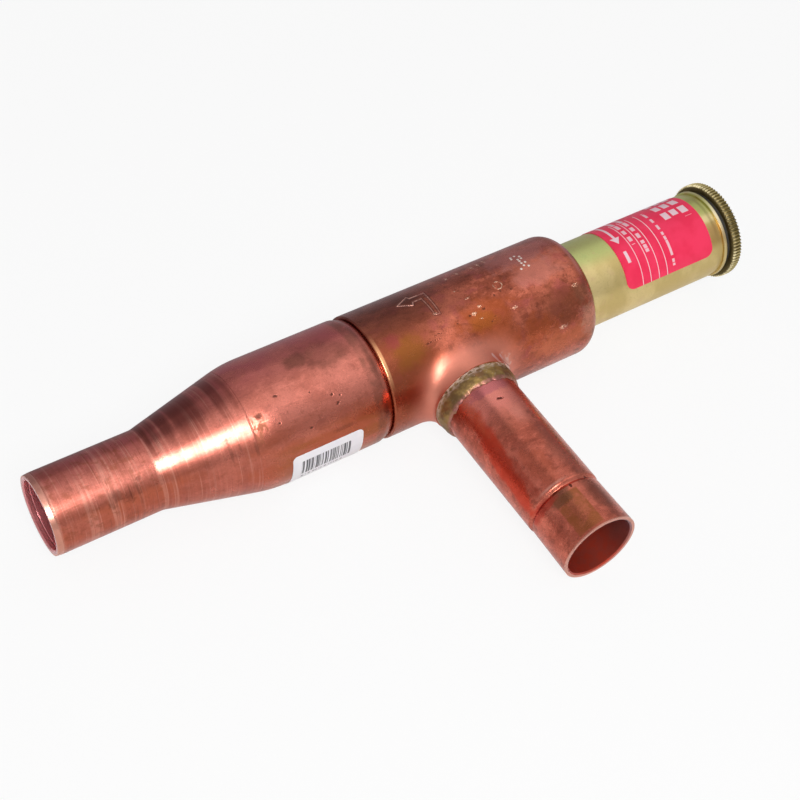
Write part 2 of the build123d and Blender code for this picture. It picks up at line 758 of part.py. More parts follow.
def bar_label():
    """White bar label on the reducer."""
    start_x = CONE_END_X + BAR_LABEL_MARGIN
    return wrapped_label(
        start_x, BAR_LABEL_LENGTH, body_r, BAR_LABEL_START_ANGLE, BAR_LABEL_SWEEP_ANGLE,
        BAR_LABEL_CORNER)


pieces = {
    "body_shell": body_shell(),
    "outlet_reducer": outlet_reducer(),
    "inlet_tube": inlet_tube(),
    "inlet_braze_ring": inlet_braze_ring(),
    "spring_housing": spring_housing(),
    "protective_cap": protective_cap(),
    "cap_gasket": cap_gasket(),
    "setting_screw": setting_screw(),
    "upper_spring_seat": upper_spring_seat(),
    "main_spring": main_spring(),
    "lower_spring_plate": lower_spring_plate(),
    "retaining_clip": retaining_clip(),
    "stem_guide": stem_guide(),
    "valve_stem": valve_stem(),
    "bellows": bellows(),
    "bellows_fixed_ring": bellows_ring(fixed_ring_x, -1, GUIDE_OD / 2),
    "bellows_moving_ring": bellows_ring(moving_ring_end_x, 1, stem_r + PRESS_GAP),
    "seat_ring": seat_ring(),
    "valve_plate": valve_plate(),
    "plate_seal": plate_seal(),
    "plate_nut": plate_nut(),
    "damper_cage": damper_cage(),
    "damper_piston": damper_piston(),
    "piston_ring": piston_ring(),
    "name_label": name_label(),
    "bar_label": bar_label(),
}

os.makedirs("parts", exist_ok=True)
for node, solid in pieces.items():
    export_step(solid, f"parts/{node}.step")
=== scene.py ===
# %% [markdown]
# # A copper pressure regulating valve, dressed for the camera
# The valve is a spun copper body with a straight outlet, a side inlet brazed into a pulled collar,
# and a plated spring housing that a knurled cap closes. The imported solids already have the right
# shape and place, so this lesson gives them their finishes: drawn and turned copper with heat tint,
# crusted braze, yellow chromate, aged brass and two printed labels. A few pieces are made again
# with finer forms, such as the knurled rim and the braze bead.

import json
import math

import bmesh
import bpy
from mathutils import Matrix, Vector


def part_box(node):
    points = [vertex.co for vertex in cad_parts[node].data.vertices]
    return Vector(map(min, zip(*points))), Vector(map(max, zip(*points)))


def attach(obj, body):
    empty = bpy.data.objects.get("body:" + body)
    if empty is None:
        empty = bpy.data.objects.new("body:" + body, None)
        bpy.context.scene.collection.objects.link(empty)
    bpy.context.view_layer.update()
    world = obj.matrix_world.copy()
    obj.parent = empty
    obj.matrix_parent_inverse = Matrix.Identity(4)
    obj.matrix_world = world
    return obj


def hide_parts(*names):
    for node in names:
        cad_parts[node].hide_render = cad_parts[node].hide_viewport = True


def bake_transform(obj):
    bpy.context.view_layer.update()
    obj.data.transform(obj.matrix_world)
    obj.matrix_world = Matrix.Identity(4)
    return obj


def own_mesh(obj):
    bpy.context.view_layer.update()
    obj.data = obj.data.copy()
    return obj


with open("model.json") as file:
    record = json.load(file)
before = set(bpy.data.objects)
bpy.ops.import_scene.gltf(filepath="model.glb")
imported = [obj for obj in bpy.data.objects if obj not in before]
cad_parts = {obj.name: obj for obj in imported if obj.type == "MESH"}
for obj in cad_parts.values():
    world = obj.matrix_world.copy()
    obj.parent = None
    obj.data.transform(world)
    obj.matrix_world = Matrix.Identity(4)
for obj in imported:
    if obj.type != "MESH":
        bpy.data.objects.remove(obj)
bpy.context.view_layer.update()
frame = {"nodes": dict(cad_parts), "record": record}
nodes = frame["nodes"]
MM = 0.001

# %% [markdown]
# Sizes come from the solids themselves, so a changed valve is still dressed in the right places.
# The main line is the X axis, and the inlet branch runs along -Y. Stations on them are kept in
# metres, measured from the boxes of the nodes that they belong to.

# %% Stations and radii
tube_low, tube_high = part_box("inlet_tube")
ring_low, ring_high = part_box("inlet_braze_ring")
cap_low, cap_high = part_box("protective_cap")
body_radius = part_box("outlet_reducer")[1].z
housing_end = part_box("spring_housing")[1].x
label_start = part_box("name_label")[0].x
sticker_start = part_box("bar_label")[0].x
branch_x = (tube_low.x + tube_high.x) / 2
branch_radius = (tube_high.x - tube_low.x) / 2
branch_reach = -tube_low.y
print("body radius", round(body_radius, 4), "branch", round(branch_x, 4), "reach", round(branch_reach, 4))

# %% [markdown]
# The camera looks down on the valve from the outlet's side with a short telephoto lens. A camera's
# matrix is made of its right, up and back directions, so it is set here directly, which is exact
# and needs no target object.

# %% Camera
camera_data = bpy.data.cameras.new("camera")
camera_data.sensor_width = 36.0
camera_data.lens = 75.28
camera_data.clip_start = 0.01
camera_data.clip_end = 20.0
camera = bpy.data.objects.new("camera", camera_data)
bpy.context.scene.collection.objects.link(camera)
right = Vector((0.8452, -0.5308, 0.0625)).normalized()
back = Vector((-0.3843, -0.5223, 0.7613)).normalized()
up = back.cross(right).normalized()
right = up.cross(back)
camera_place = Vector((-0.06186, -0.20739, 0.28781))
camera_axes = Matrix((right, up, back)).transposed().to_4x4()
camera.matrix_world = Matrix.Translation(camera_place) @ camera_axes
bpy.context.scene.camera = camera
print("lens", camera_data.lens, "place", tuple(round(v, 3) for v in camera_place))

# %% [markdown]
# Shader maths is easier to read as plain expressions than as chains of nodes. The small class below
# wraps one socket, and each operator adds the Math node that it stands for. A second class wraps a
# tree and makes any node with a single method, and a third adds what materials need.


# %% Shader maths
class Field:
    """One number, vector, colour, shader or geometry in a node tree."""

    def __init__(self, owner, socket):
        self.owner, self.socket = owner, socket

    def maths(self, operation, *values):
        return self.owner.node("ShaderNodeMath", {"operation": operation}, dict(enumerate(values)))

    def __add__(self, other):
        return self.maths("ADD", self, other)

    def __radd__(self, other):
        return self.maths("ADD", other, self)

    def __sub__(self, other):
        return self.maths("SUBTRACT", self, other)

    def __rsub__(self, other):
        return self.maths("SUBTRACT", other, self)

    def __mul__(self, other):
        return self.maths("MULTIPLY", self, other)

    def __rmul__(self, other):
        return self.maths("MULTIPLY", other, self)

    def __truediv__(self, other):
        return self.maths("DIVIDE", self, other)

    def __rtruediv__(self, other):
        return self.maths("DIVIDE", other, self)

    def __abs__(self):
        return self.maths("ABSOLUTE", self)

    def root(self):
        return self.maths("SQRT", self)

    def fraction(self):
        return self.maths("FRACT", self)

    def bearing(self, other):
        """Angle in degrees of the point (other, self)."""
        return self.maths("ARCTAN2", self, other) * (180.0 / math.pi)

    def clamp(self):
        return self.owner.node("ShaderNodeClamp", {}, {0: self, 1: 0.0, 2: 1.0})

    def rise(self, low, high, first=0.0, last=1.0):
        """0 below low, 1 above high, with a soft step between them."""
        sockets = {0: self, 1: low, 2: high, 3: first, 4: last}
        return self.owner.node("ShaderNodeMapRange", {"interpolation_type": "SMOOTHSTEP"}, sockets)

    def fall(self, low, high):
        """1 below low, 0 above high."""
        return 1.0 - self.rise(low, high)

    def bell(self, middle, width):
        """1 at the middle, falling to 0 at a width from it."""
        return abs(self - middle).fall(0.0, width)

    def within(self, low, high, soft):
        """1 between low and high, with soft edges."""
        return self.rise(low - soft, low + soft) * self.fall(high - soft, high + soft)

    def smaller(self, other):
        return self.maths("MINIMUM", self, other)

    def larger(self, other):
        return self.maths("MAXIMUM", self, other)


def union(masks):
    """The largest of several masks."""
    whole, *others = masks
    for mask in others:
        whole = whole.larger(mask)
    return whole


class Tree:
    """A node tree, with one method that adds any node to it."""

    def __init__(self, tree):
        self.tree = tree

    def feed(self, socket, value):
        """Links a field to a socket, or sets a plain value on it."""
        if isinstance(value, Field):
            self.tree.links.new(value.socket, socket)
        else:
            socket.default_value = (*value, 1.0) if socket.type == "RGBA" else value

    def node(self, kind, settings=None, sockets=None, output=0):
        """Adds a node, with its settings first and then its sockets, and returns one output."""
        made = self.tree.nodes.new(kind)
        for key, value in (settings or {}).items():
            setattr(made, key, value)
        for key, value in (sockets or {}).items():
            self.feed(made.inputs[key], value)
        return Field(self, made.outputs[output])

    def ray(self, name):
        """1 for the rays of one kind, such as those from the camera."""
        return self.node("ShaderNodeLightPath", output=name)

    def mirrored(self):
        """1 for what mirrors and glass see."""
        return self.ray("Is Glossy Ray").larger(self.ray("Is Transmission Ray"))

    def mix_to(self, output, share, first, second):
        """Ends the tree in a mix of two shaders."""
        mixed = self.node("ShaderNodeMixShader", {}, {0: share, 1: first, 2: second})
        self.feed(self.tree.nodes[output].inputs["Surface"], mixed)


class Finish(Tree):
    """A material under construction, with its position fields in millimetres."""

    def __init__(self, name):
        self.material = bpy.data.materials.new(name)
        self.material.use_nodes = True
        super().__init__(self.material.node_tree)
        self.shader = self.tree.nodes["Principled BSDF"]
        place = self.node("ShaderNodeTexCoord", output="Object")
        self.place = self.node("ShaderNodeVectorMath", {"operation": "SCALE"}, {0: place, "Scale": 1.0 / MM})
        self.x, self.y, self.z = (
            self.node("ShaderNodeSeparateXYZ", {}, {0: self.place}, axis) for axis in range(3))

    def noise(self, scale, detail=3.0, stretch=(1.0, 1.0, 1.0), roughness=0.55, seed=0.0):
        """Noise of a given feature size in millimetres, centred on one half."""
        offset = (seed, seed * 1.7, seed * 0.6)
        at = self.node("ShaderNodeMapping", {}, {0: self.place, 1: offset, 3: stretch})
        sockets = {"Vector": at, "Scale": 1.0 / scale, "Detail": detail, "Roughness": roughness}
        return self.node("ShaderNodeTexNoise", {}, sockets)

    def stripes(self, along, scale=1.0, detail=0.0, roughness=0.5):
        """Noise that changes with one number only."""
        sockets = {"W": along, "Scale": scale, "Detail": detail, "Roughness": roughness}
        return self.node("ShaderNodeTexNoise", {"noise_dimensions": "1D"}, sockets)

    def blend(self, factor, first, second):
        """Colour mix of two colours or fields."""
        return self.node("ShaderNodeMix", {"data_type": "RGBA"}, {0: factor, 6: first, 7: second}, 2)

    def layers(self, tone, *rows):
        """Blends colours over a tone one after another. A row is a mask and its colour."""
        for mask, colour in rows:
            tone = self.blend(mask, tone, colour)
        return tone

    def stained(self, tone, rows):
        """Blends patches over a tone. A row is what patch() takes, a strength and a colour."""
        for *spot, strength, colour in rows:
            tone = self.blend(self.patch(*spot) * strength, tone, colour)
        return tone

    def bump(self, height, distance, strength=1.0, normal=None):
        sockets = {"Strength": strength, "Distance": distance, "Height": height}
        if normal:
            sockets["Normal"] = normal
        return self.node("ShaderNodeBump", {}, sockets)

    def set(self, **values):
        """Plain numbers and fields for the shader's own sockets."""
        for key, value in values.items():
            self.feed(self.shader.inputs[key.replace("_", " ")], value)

    def coat(self, tone, metallic, roughness, height, distance, strength):
        """The four usual inputs: colour, metal, roughness, and a bump from a height."""
        self.set(Base_Color=tone, Metallic=metallic, Roughness=roughness)
        self.set(Normal=self.bump(height, distance, strength))


def dress(name, material):
    """Gives a node of the frame one material."""
    nodes[name].data.materials.clear()
    nodes[name].data.materials.append(material)


print("shader helpers ready")

# %% [markdown]
# The valve lies on a pale floor, resting on the body's underside and on the end of the branch, so
# the floor is turned a little about the main line and the valve itself stays where it is. The
# floor glows white for the camera and a little for reflections, and keeps the valve's shadow.

# %% Floor
WHITE = (1.0, 1.0, 1.0)
QUAD = [(0, 1, 2, 3)]
CAMERA_WHITE, MIRROR_WHITE = 0.88, 0.30
contact = math.atan2(tube_high.z, branch_reach)
tilt = math.asin(body_radius / math.hypot(branch_reach, tube_high.z)) - contact
floor_turn = Matrix.Rotation(-tilt, 4, "X")


def floor_point(x, y, lift=0.0):
    """Point at (x, y) on the turned floor, raised along its normal."""
    return floor_turn @ Vector((x, y, -body_radius + lift))


def plain_mesh(name, points, faces):
    """A new object with a mesh of points and faces."""
    mesh = bpy.data.meshes.new(name)
    mesh.from_pydata([tuple(p) for p in points], [], faces)
    mesh.update()
    made = bpy.data.objects.new(name, mesh)
    bpy.context.scene.collection.objects.link(made)
    return made


floor_corners = [floor_point(x, y) for x, y in ((-3, -3), (3, -3), (3, 3), (-3, 3))]
floor = plain_mesh("floor", floor_corners, QUAD)
paper = Finish("floor_paper")
paper.set(Base_Color=paper.blend(paper.noise(1.4, 2.0), (0.86, 0.86, 0.86), (0.90, 0.90, 0.90)))
paper.set(Roughness=0.9, Specular_IOR_Level=0.1)
glow = paper.node("ShaderNodeEmission", {}, {"Color": WHITE, "Strength": 1.0})
white_share = (paper.ray("Is Camera Ray") * CAMERA_WHITE).larger(paper.mirrored() * MIRROR_WHITE)
paper.mix_to("Material Output", white_share, Field(paper, paper.shader.outputs[0]), glow)
floor.data.materials.append(paper.material)
print("floor tilt", round(math.degrees(tilt), 2))

# %% [markdown]
# The light is a soft lamp beside the camera, one large panel overhead and a weak sky. The camera
# sees the sky white, and reflections see it as white card that gets brighter overhead.

# %% World and lamps
SKY_STRENGTH = 0.34
world = bpy.data.worlds.new("studio")
bpy.context.scene.world = world
world.use_nodes = True
sky = Tree(world.node_tree)
sky.tree.nodes.remove(sky.tree.nodes["Background"])
seen = sky.ray("Is Camera Ray")
up_part = sky.node("ShaderNodeSeparateXYZ", {}, {0: sky.node("ShaderNodeTexCoord", output="Generated")}, "Z")
card = up_part.rise(0.25, 0.92, 0.512, 0.8).larger(seen)
soft_sky = sky.node("ShaderNodeBackground", {}, {"Color": WHITE, "Strength": SKY_STRENGTH})
white_sky = sky.node("ShaderNodeBackground", {}, {"Color": WHITE, "Strength": card})
sky.mix_to("World Output", seen.larger(sky.mirrored()), soft_sky, white_sky)
aim = Vector((0.09, -0.01, 0.0))


def lamp(name, direction, distance, size, power):
    """A round soft lamp that looks at the middle of the valve."""
    data = bpy.data.lights.new(name, "AREA")
    data.shape, data.size, data.energy = "DISK", size, power
    made = bpy.data.objects.new(name, data)
    away = Vector(direction).normalized()
    facing = away.to_track_quat("Z", "Y").to_matrix().to_4x4()
    made.matrix_world = Matrix.Translation(aim + away * distance) @ facing
    bpy.context.scene.collection.objects.link(made)


lamp("camera_side_lamp", (-0.26, -0.59, 0.765), 0.60, 0.25, 2.1)
lamp("overhead_panel", (0.15, -0.20, 1.0), 1.10, 0.90, 0.8)
bpy.context.scene.view_settings.view_transform = "Standard"
print("lamps 2, sky strength", SKY_STRENGTH)

# %% [markdown]
# Round metal looks round because it mirrors something dark beside something bright. A dark curved
# flag behind the valve and a wing at its left are seen only in reflections, and they give the
# tubes their dark upper edges. They get a little paler to the right and to the far left.

# %% Dark flag
bend = [i * math.pi / 16 for i in range(9)]
flag_profile = [(0.030, 0.0006)]
flag_profile += [(0.40 + 0.16 * math.sin(a), 0.0006 + 0.16 * (1 - math.cos(a))) for a in bend]
flag_profile += [(0.56, 0.55)]
flag_points = [floor_point(x, y, lift) for y, lift in flag_profile for x in (-0.7, 1.3)]
flag_strips = [(i, i + 1, i + 3, i + 2) for i in range(0, len(flag_points) - 2, 2)]
flag = plain_mesh("dark_flag", flag_points, flag_strips)
cloth = Finish("flag_cloth")
cloth.set(Base_Color=cloth.blend(cloth.noise(2.0), (0.05, 0.045, 0.045), (0.08, 0.07, 0.07)), Roughness=1.0)
cloth_light = cloth.blend(cloth.x.rise(-60.0, 160.0), (0.17, 0.16, 0.17), (0.36, 0.34, 0.37))
cloth_light = cloth.blend(cloth.x.fall(-330.0, -110.0), cloth_light, (0.50, 0.46, 0.47))
cloth.set(Emission_Color=cloth_light, Emission_Strength=1.0)
wing_points = [(-1.1, 0.25, 0.45), (-0.01, 0.50, 0.45), (-0.01, 0.50, 1.25), (-1.1, 0.25, 1.25)]
wing = plain_mesh("dark_wing", wing_points, QUAD)
for screen in (flag, wing):
    screen.visible_camera = screen.visible_diffuse = False
    screen.visible_shadow = screen.visible_transmission = False
    screen.data.materials.append(cloth.material)
print("flag faces", len(flag.data.polygons))

# %% [markdown]
# Copper is the main finish. A real valve body shows several layers at once: bare metal, a brown
# oxide film, rainbow heat tint near the brazed joints, fine drawing lines along the tube, and
# turning rings where a roller formed the cone. Each layer below is a noise or a mask in the part's
# own millimetres, and they are mixed from the metal outwards. The angle about the main line and
# the distance along it place the marks that belong to one spot.

# %% Marks on a tube
COPPER_BROWN = (0.30, 0.082, 0.056)
COPPER_DARK = (0.085, 0.030, 0.022)
COPPER_BRIGHT = (0.95, 0.52, 0.40)


class TubeFinish(Finish):
    """A finish with the angle about the main line: 0 at +Y, 90 on top, 180 at -Y, 270 below."""

    def __init__(self, name):
        super().__init__(name)
        self.radius = (self.y * self.y + self.z * self.z).root()
        self.angle = (self.y * -1.0).bearing(self.z) + 90.0

    def patch(self, x, angle, x_width, angle_width, ragged=0.5, grain=3.0):
        """A ragged spot on the main line, 1 inside and 0 outside."""
        u = (self.x - x) / x_width
        v = (self.angle - angle) / angle_width
        edge = (self.noise(grain, 5.0, roughness=0.65, seed=x) - 0.5) * (2.4 * ragged)
        return ((u * u + v * v).root() + edge).fall(0.45, 1.25)

    def cluster(self, first, rows, ragged, grain, wide=0.9):
        """Small patches as one mask. A row is x, angle and both widths, and wide ones may be fainter."""
        masks = [first]
        for x, angle, x_width, angle_width in rows:
            strength = wide if x_width > 0.8 or angle_width > 4.0 else 0.9
            masks.append(self.patch(x, angle, x_width, angle_width, ragged, grain) * strength)
        return union(masks)

    def rings(self, pitch, seed, detail):
        """Turning marks: noise that changes along the main line only."""
        return self.noise(pitch, detail, (1.0, 0.02, 0.02), 0.6, seed)

    def outer_half(self, angle):
        """1 on the branch's side of an angle about the main line, with a wide soft edge."""
        return self.angle.rise(angle - 16.0, angle + 16.0)


print("tube marks ready")

# %% [markdown]
# All the copper shares one worn film. Clouds and blotches of oxide lie over the metal, grain and
# hair scratches break them up, and the same noises also feed the roughness and the bump, so that
# a dull spot is dull in every way.

# %% Worn copper
ALL_WAYS = (1.0, 1.0, 1.0)


def worn_copper(finish, light, dark, seed, wear=1.0):
    """Oxide film with clouds, blotches, grain and hair scratches: colour, roughness and height."""
    cloud = finish.noise(8.0, 4.0, (0.7, 1.0, 1.0), 0.6, seed)
    blotch = finish.noise(2.3, 5.0, (0.8, 1.0, 1.0), 0.68, seed + 2.0)
    grain = finish.noise(0.42, 3.0, ALL_WAYS, 0.7, seed + 4.0)
    hair = finish.noise(0.30, 2.0, (0.035, 1.0, 1.0), 0.6, seed + 6.0)
    deep = tuple(0.45 * c for c in dark)
    pale = tuple(min(1.0, 1.35 * c) for c in light)
    tone = finish.layers(
        finish.blend(cloud.rise(0.37, 0.63), light, dark),
        (blotch.rise(0.50, 0.66) * (0.42 * wear), deep),
        (blotch.fall(0.34, 0.46) * (0.40 * wear), pale),
        (grain.rise(0.52, 0.70) * (0.34 * wear), deep),
        (grain.fall(0.30, 0.44) * (0.30 * wear), pale),
        (hair.rise(0.60, 0.68) * 0.30, pale))
    return tone, 0.17 + 0.09 * cloud + 0.12 * blotch, grain * 0.28 + blotch * 0.45 + hair * 0.15


print("worn copper ready")

# %% [markdown]
# The reducer starts as plain tube. A roller closed its left end to the socket size, so everything
# left of the cone's shoulder carries fine rings, and the roller's last turn leaves a sharp edge
# to the untouched tube. The rings are bump and roughness, strong enough to stretch a highlight
# across the cone. Stains and small nicks follow on top.

# %% Reducer copper
roller_end = 46.0
reducer = TubeFinish("reducer_copper")
outside = reducer.radius.rise(8.75, 8.95)
inner = 1.0 - outside
turned = reducer.x.fall(roller_end - 0.15, roller_end + 0.15) * outside
cone = reducer.x.within(25.0, roller_end, 0.6) * outside
coarse = reducer.rings(3.0, 2.0, 2.0)
wide = reducer.rings(1.15, 5.0, 3.0)
thin = reducer.rings(0.32, 7.0, 2.0)
tone, shine, film_height = worn_copper(reducer, (0.61, 0.195, 0.146), (0.50, 0.150, 0.108), 3.0)
mauve = reducer.angle.fall(62.0, 112.0) * (0.25 + 0.75 * reducer.angle.rise(5.0, 60.0))
mauve = mauve * (0.45 + 0.5 * reducer.noise(6.0, 4.0, seed=9.0).rise(0.38, 0.62))
low_clouds = reducer.noise(5.0, 4.0, (0.3, 1.0, 1.0), seed=12.0).rise(0.38, 0.60)
low = reducer.angle.rise(128.0, 156.0) * (0.35 + 0.5 * low_clouds)
shaded_side = 1.0 - reducer.angle.rise(100.0, 120.0) * 0.75
# Painted shade: the upper side of the cone is darkened, in bands that follow the coarse turning rings.
cone_top_shade = cone * reducer.angle.fall(84.0, 112.0) * (0.25 + 0.55 * coarse.rise(0.44, 0.56))
cone_top_shade = cone_top_shade * (0.35 + 0.65 * reducer.angle.rise(10.0, 62.0))
tube_lines = reducer.noise(0.75, 3.0, (1.0, 0.05, 0.05), 0.7, 23.0).rise(0.50, 0.62)
tube_lines = tube_lines * reducer.x.within(11.0, 25.5, 3.0) * outside
tube_lines = tube_lines * (0.25 + 0.5 * reducer.noise(2.5, 3.0, seed=29.0).rise(0.4, 0.6))
# Painted shade: the top of the turned tube left of the cone is darker.
tube_top_shade = (1.0 - cone) * turned * reducer.angle.fall(78.0, 118.0) * 0.30
brown_film = turned * (1.0 - cone) * reducer.noise(1.7, 5.0, (0.8, 1.0, 1.0), 0.7, 14.0).rise(0.52, 0.62)
band = reducer.x.within(roller_end, roller_end + 3.2, 0.25) * reducer.angle.bell(132.0, 24.0)
band = band * reducer.noise(1.2, 5.0, (1.0, 0.5, 0.5), 0.7, 1.0).rise(0.42, 0.54)
low_gold = reducer.angle.within(154.0, 232.0, 9.0) * reducer.x.within(50.0, 78.0, 5.0)
low_gold = low_gold * (0.20 + 0.55 * reducer.noise(4.0, 4.0, (0.25, 1.0, 1.0), seed=6.0).rise(0.4, 0.6))
# Painted shade: a darker band on the reducer's rounded edge just before the seam.
seam_edge_shade = 0.4 + 0.6 * reducer.noise(3.0, 3.0, seed=4.0).rise(0.36, 0.56)
seam_edge_shade = reducer.x.within(74.6, 77.6, 0.5) * seam_edge_shade
stain = union([
    reducer.patch(68.2, 92.0, 5.6, 15.0, 0.45, 3.6), reducer.patch(62.0, 88.0, 3.4, 9.0, 0.5, 2.5)])
stain_core = reducer.patch(68.6, 93.0, 4.4, 11.5, 0.45, 3.0)
spots = reducer.cluster(reducer.patch(48.4, 121.5, 0.75, 3.0, 0.8, 0.5), (
    (53.5, 111.5, 0.5, 1.3), (65.5, 128.5, 0.40, 1.5), (66.1, 137.4, 0.55, 1.8), (67.2, 132.0, 0.30, 1.1),
    (66.1, 160.0, 3.0, 2.2), (58.5, 148.0, 0.4, 1.1), (45.6, 147.0, 0.45, 7.0), (42.4, 141.0, 0.35, 5.0),
    (40.2, 142.0, 0.40, 14.0), (20.5, 132.0, 1.0, 3.5), (15.0, 141.0, 1.3, 8.0), (17.4, 150.0, 1.0, 9.0),
    (13.2, 152.0, 0.9, 6.0), (52.0, 134.0, 0.35, 1.0), (61.0, 120.0, 0.3, 0.9)), 0.9, 0.6, 0.40)
tone = reducer.layers(
    tone,
    (mauve, (0.50, 0.125, 0.130)),
    (low, (0.50, 0.120, 0.062)),
    (turned * coarse.rise(0.48, 0.60) * (0.10 + 0.40 * cone) * shaded_side, (0.24, 0.062, 0.046)),
    (turned * wide.rise(0.50, 0.64) * 0.26 * shaded_side, COPPER_BROWN),
    (turned * wide.fall(0.34, 0.46) * 0.20, COPPER_BRIGHT),
    (turned * thin.rise(0.54, 0.70) * 0.24, (0.30, 0.080, 0.060)),
    (turned * thin.fall(0.32, 0.42) * 0.18, COPPER_BRIGHT),
    (cone_top_shade, (0.20, 0.052, 0.044)),
    (tube_lines, (0.31, 0.085, 0.055)),
    (tube_top_shade, (0.34, 0.085, 0.070)),
    (brown_film * 0.45, (0.30, 0.085, 0.045)),
    (band * 0.80, (0.21, 0.075, 0.038)),
    (low_gold, (0.38, 0.118, 0.042)),
    (seam_edge_shade * 0.60, (0.20, 0.080, 0.055)),
    (stain * (0.60 - 0.30 * stain_core), (0.110, 0.045, 0.028)),
    (spots * 0.85, COPPER_DARK),
    # Painted glint: a small pale spot on the cone's shoulder.
    (reducer.patch(49.0, 127.5, 1.1, 0.7, 0.9, 0.5) * 0.5, (0.80, 0.42, 0.28)),
    (reducer.x.fall(1.15, 1.45) * 0.45, COPPER_BRIGHT),
    (inner * 0.85, (0.74, 0.25, 0.27)))
ring_depth = 0.15 - 0.05 * cone
shine = shine + turned * 0.02 - inner * 0.08 + band * 0.22
height = film_height * (0.55 - 0.2 * turned) * (1.0 - 0.7 * inner)
height = height + turned * (thin * ring_depth + wide * (ring_depth * 0.7) + coarse * 0.22)
height = height - spots * 0.6 - reducer.x.bell(1.3, 0.22) * 0.9 - reducer.x.bell(roller_end, 0.25) * 0.7
reducer.coat(tone, 1.0 - inner * 0.42, shine, height, 0.00009, 0.9)
dress("outlet_reducer", reducer.material)
print("reducer nodes", len(reducer.tree.nodes))

# %% [markdown]
# The tee body was heated twice, at the seam and at the branch, so its film is thicker and more colourful:
# olive and gold near the seam, orange-brown blotches over the branch and a darker brown field along the top.
# The gold along the seam's lip is a painted highlight, as are the paler copper around the collar and the pale
# line on the shoulder's edge. Dark specks are the dents of handling, and the bright glints are painted
# highlights on small rubs and raised marks.

# %% Tee copper
tee = TubeFinish("tee_copper")
broad_noise = tee.noise(4.0, 4.0, (0.5, 1.0, 1.0), seed=2.5)
tone, shine, film_height = worn_copper(tee, (0.54, 0.150, 0.092), (0.36, 0.090, 0.052), 6.0, 1.6)
top_dark_field = tee.angle.bell(70.0, 34.0) * tee.x.within(80.0, 104.0, 7.0)
left = tee.x.fall(88.0, 97.0) * tee.outer_half(96.0)
top_left = tee.x.fall(92.0, 104.0) * (1.0 - tee.outer_half(104.0))
tone = tee.layers(
    tone,
    (tee.noise(3.2, 4.0, seed=15.0).rise(0.50, 0.66) * 0.45, (0.46, 0.105, 0.100)),
    (top_dark_field * (0.20 + 0.60 * broad_noise.rise(0.40, 0.60)), (0.190, 0.066, 0.046)),
    (left * 0.75, (0.33, 0.082, 0.036)),
    (top_left * 0.60, (0.120, 0.038, 0.026)))
tone = tee.stained(tone, (
    (86.6, 122.0, 4.4, 17.0, 0.55, 3.0, 0.75, (0.31, 0.105, 0.024)),
    (83.8, 108.0, 2.0, 8.0, 0.7, 1.8, 0.50, (0.34, 0.055, 0.060)),
    (107.5, 119.0, 9.0, 19.0, 0.70, 3.0, 0.72, (0.40, 0.085, 0.026)),
    (106.0, 122.0, 4.0, 9.0, 0.80, 2.0, 0.50, (0.44, 0.125, 0.020)),
    (101.8, 97.0, 5.0, 11.0, 0.8, 3.0, 0.40, COPPER_BROWN),
    (126.5, 136.0, 6.5, 19.0, 1.0, 2.6, 0.60, (0.25, 0.070, 0.034)),
    (132.5, 132.0, 2.5, 9.0, 0.6, 2.0, 0.45, (0.20, 0.095, 0.055)),
    (118.5, 150.0, 6.0, 15.0, 0.8, 2.6, 0.65, (0.48, 0.105, 0.036)),
    (125.0, 170.0, 10.0, 14.0, 0.7, 3.0, 0.50, (0.66, 0.185, 0.085)),
    (124.0, 99.0, 8.0, 13.0, 0.7, 4.0, 0.60, (0.72, 0.250, 0.190)),
    (124.0, 74.0, 11.0, 15.0, 0.8, 3.0, 0.60, (0.62, 0.240, 0.210))))
# Painted highlight: a pale line along the shoulder's edge on its upper side, then painted shade on the rolled
# edge beyond it.
shoulder_highlight = tee.x.bell(134.3, 0.9) * tee.angle.within(62.0, 116.0, 8.0)
edge_shade = tee.x.rise(134.9, 135.9) * (1.0 - 0.5 * tee.outer_half(150.0))
tone = tee.layers(
    tone,
    (shoulder_highlight * 0.60, (0.76, 0.280, 0.225)),
    (edge_shade * 0.55, (0.17, 0.058, 0.040)))
tone = tee.stained(tone, (
    (133.0, 160.0, 2.6, 20.0, 0.9, 1.2, 0.50, (0.56, 0.280, 0.200)),
    (92.5, 148.0, 8.0, 17.0, 0.6, 3.0, 0.60, (0.44, 0.090, 0.034)),
    (109.0, 146.0, 6.0, 16.0, 0.7, 3.0, 0.65, (0.62, 0.145, 0.060))))
across = tee.x - branch_x / MM
collar_distance = (across * across + tee.z * tee.z).root()
front = tee.y.fall(-13.2, -9.5)
# Painted highlight: gold along the seam's lip on the lamp's side.
lip = tee.x.within(79.1, 80.0, 0.18) * tee.angle.bell(122.0, 30.0)
specks = tee.cluster(tee.patch(107.5, 112.0, 0.45, 1.6, 0.9, 0.5), (
    (103.6, 113.5, 0.4, 1.4), (100.0, 115.5, 0.3, 1.2), (111.5, 105.0, 0.4, 1.3), (113.6, 103.0, 0.4, 1.6),
    (92.6, 121.5, 2.2, 0.9), (94.4, 117.4, 1.2, 0.7), (134.0, 176.0, 0.4, 2.2), (109.4, 122.0, 0.35, 1.2),
    (108.2, 125.0, 0.35, 1.3), (116.2, 104.5, 0.45, 3.0)), 0.9, 0.6)
specks = specks * tee.noise(0.5, 3.0, seed=41.0).rise(0.42, 0.54)
tone = tee.layers(
    tone,
    # Painted highlight: paler copper on the flare around the collar.
    (front * collar_distance.fall(10.5, 17.0) * 0.70, (0.84, 0.310, 0.225)),
    (lip * 0.85, (1.0, 0.52, 0.26)),
    (specks * 0.85, COPPER_DARK))
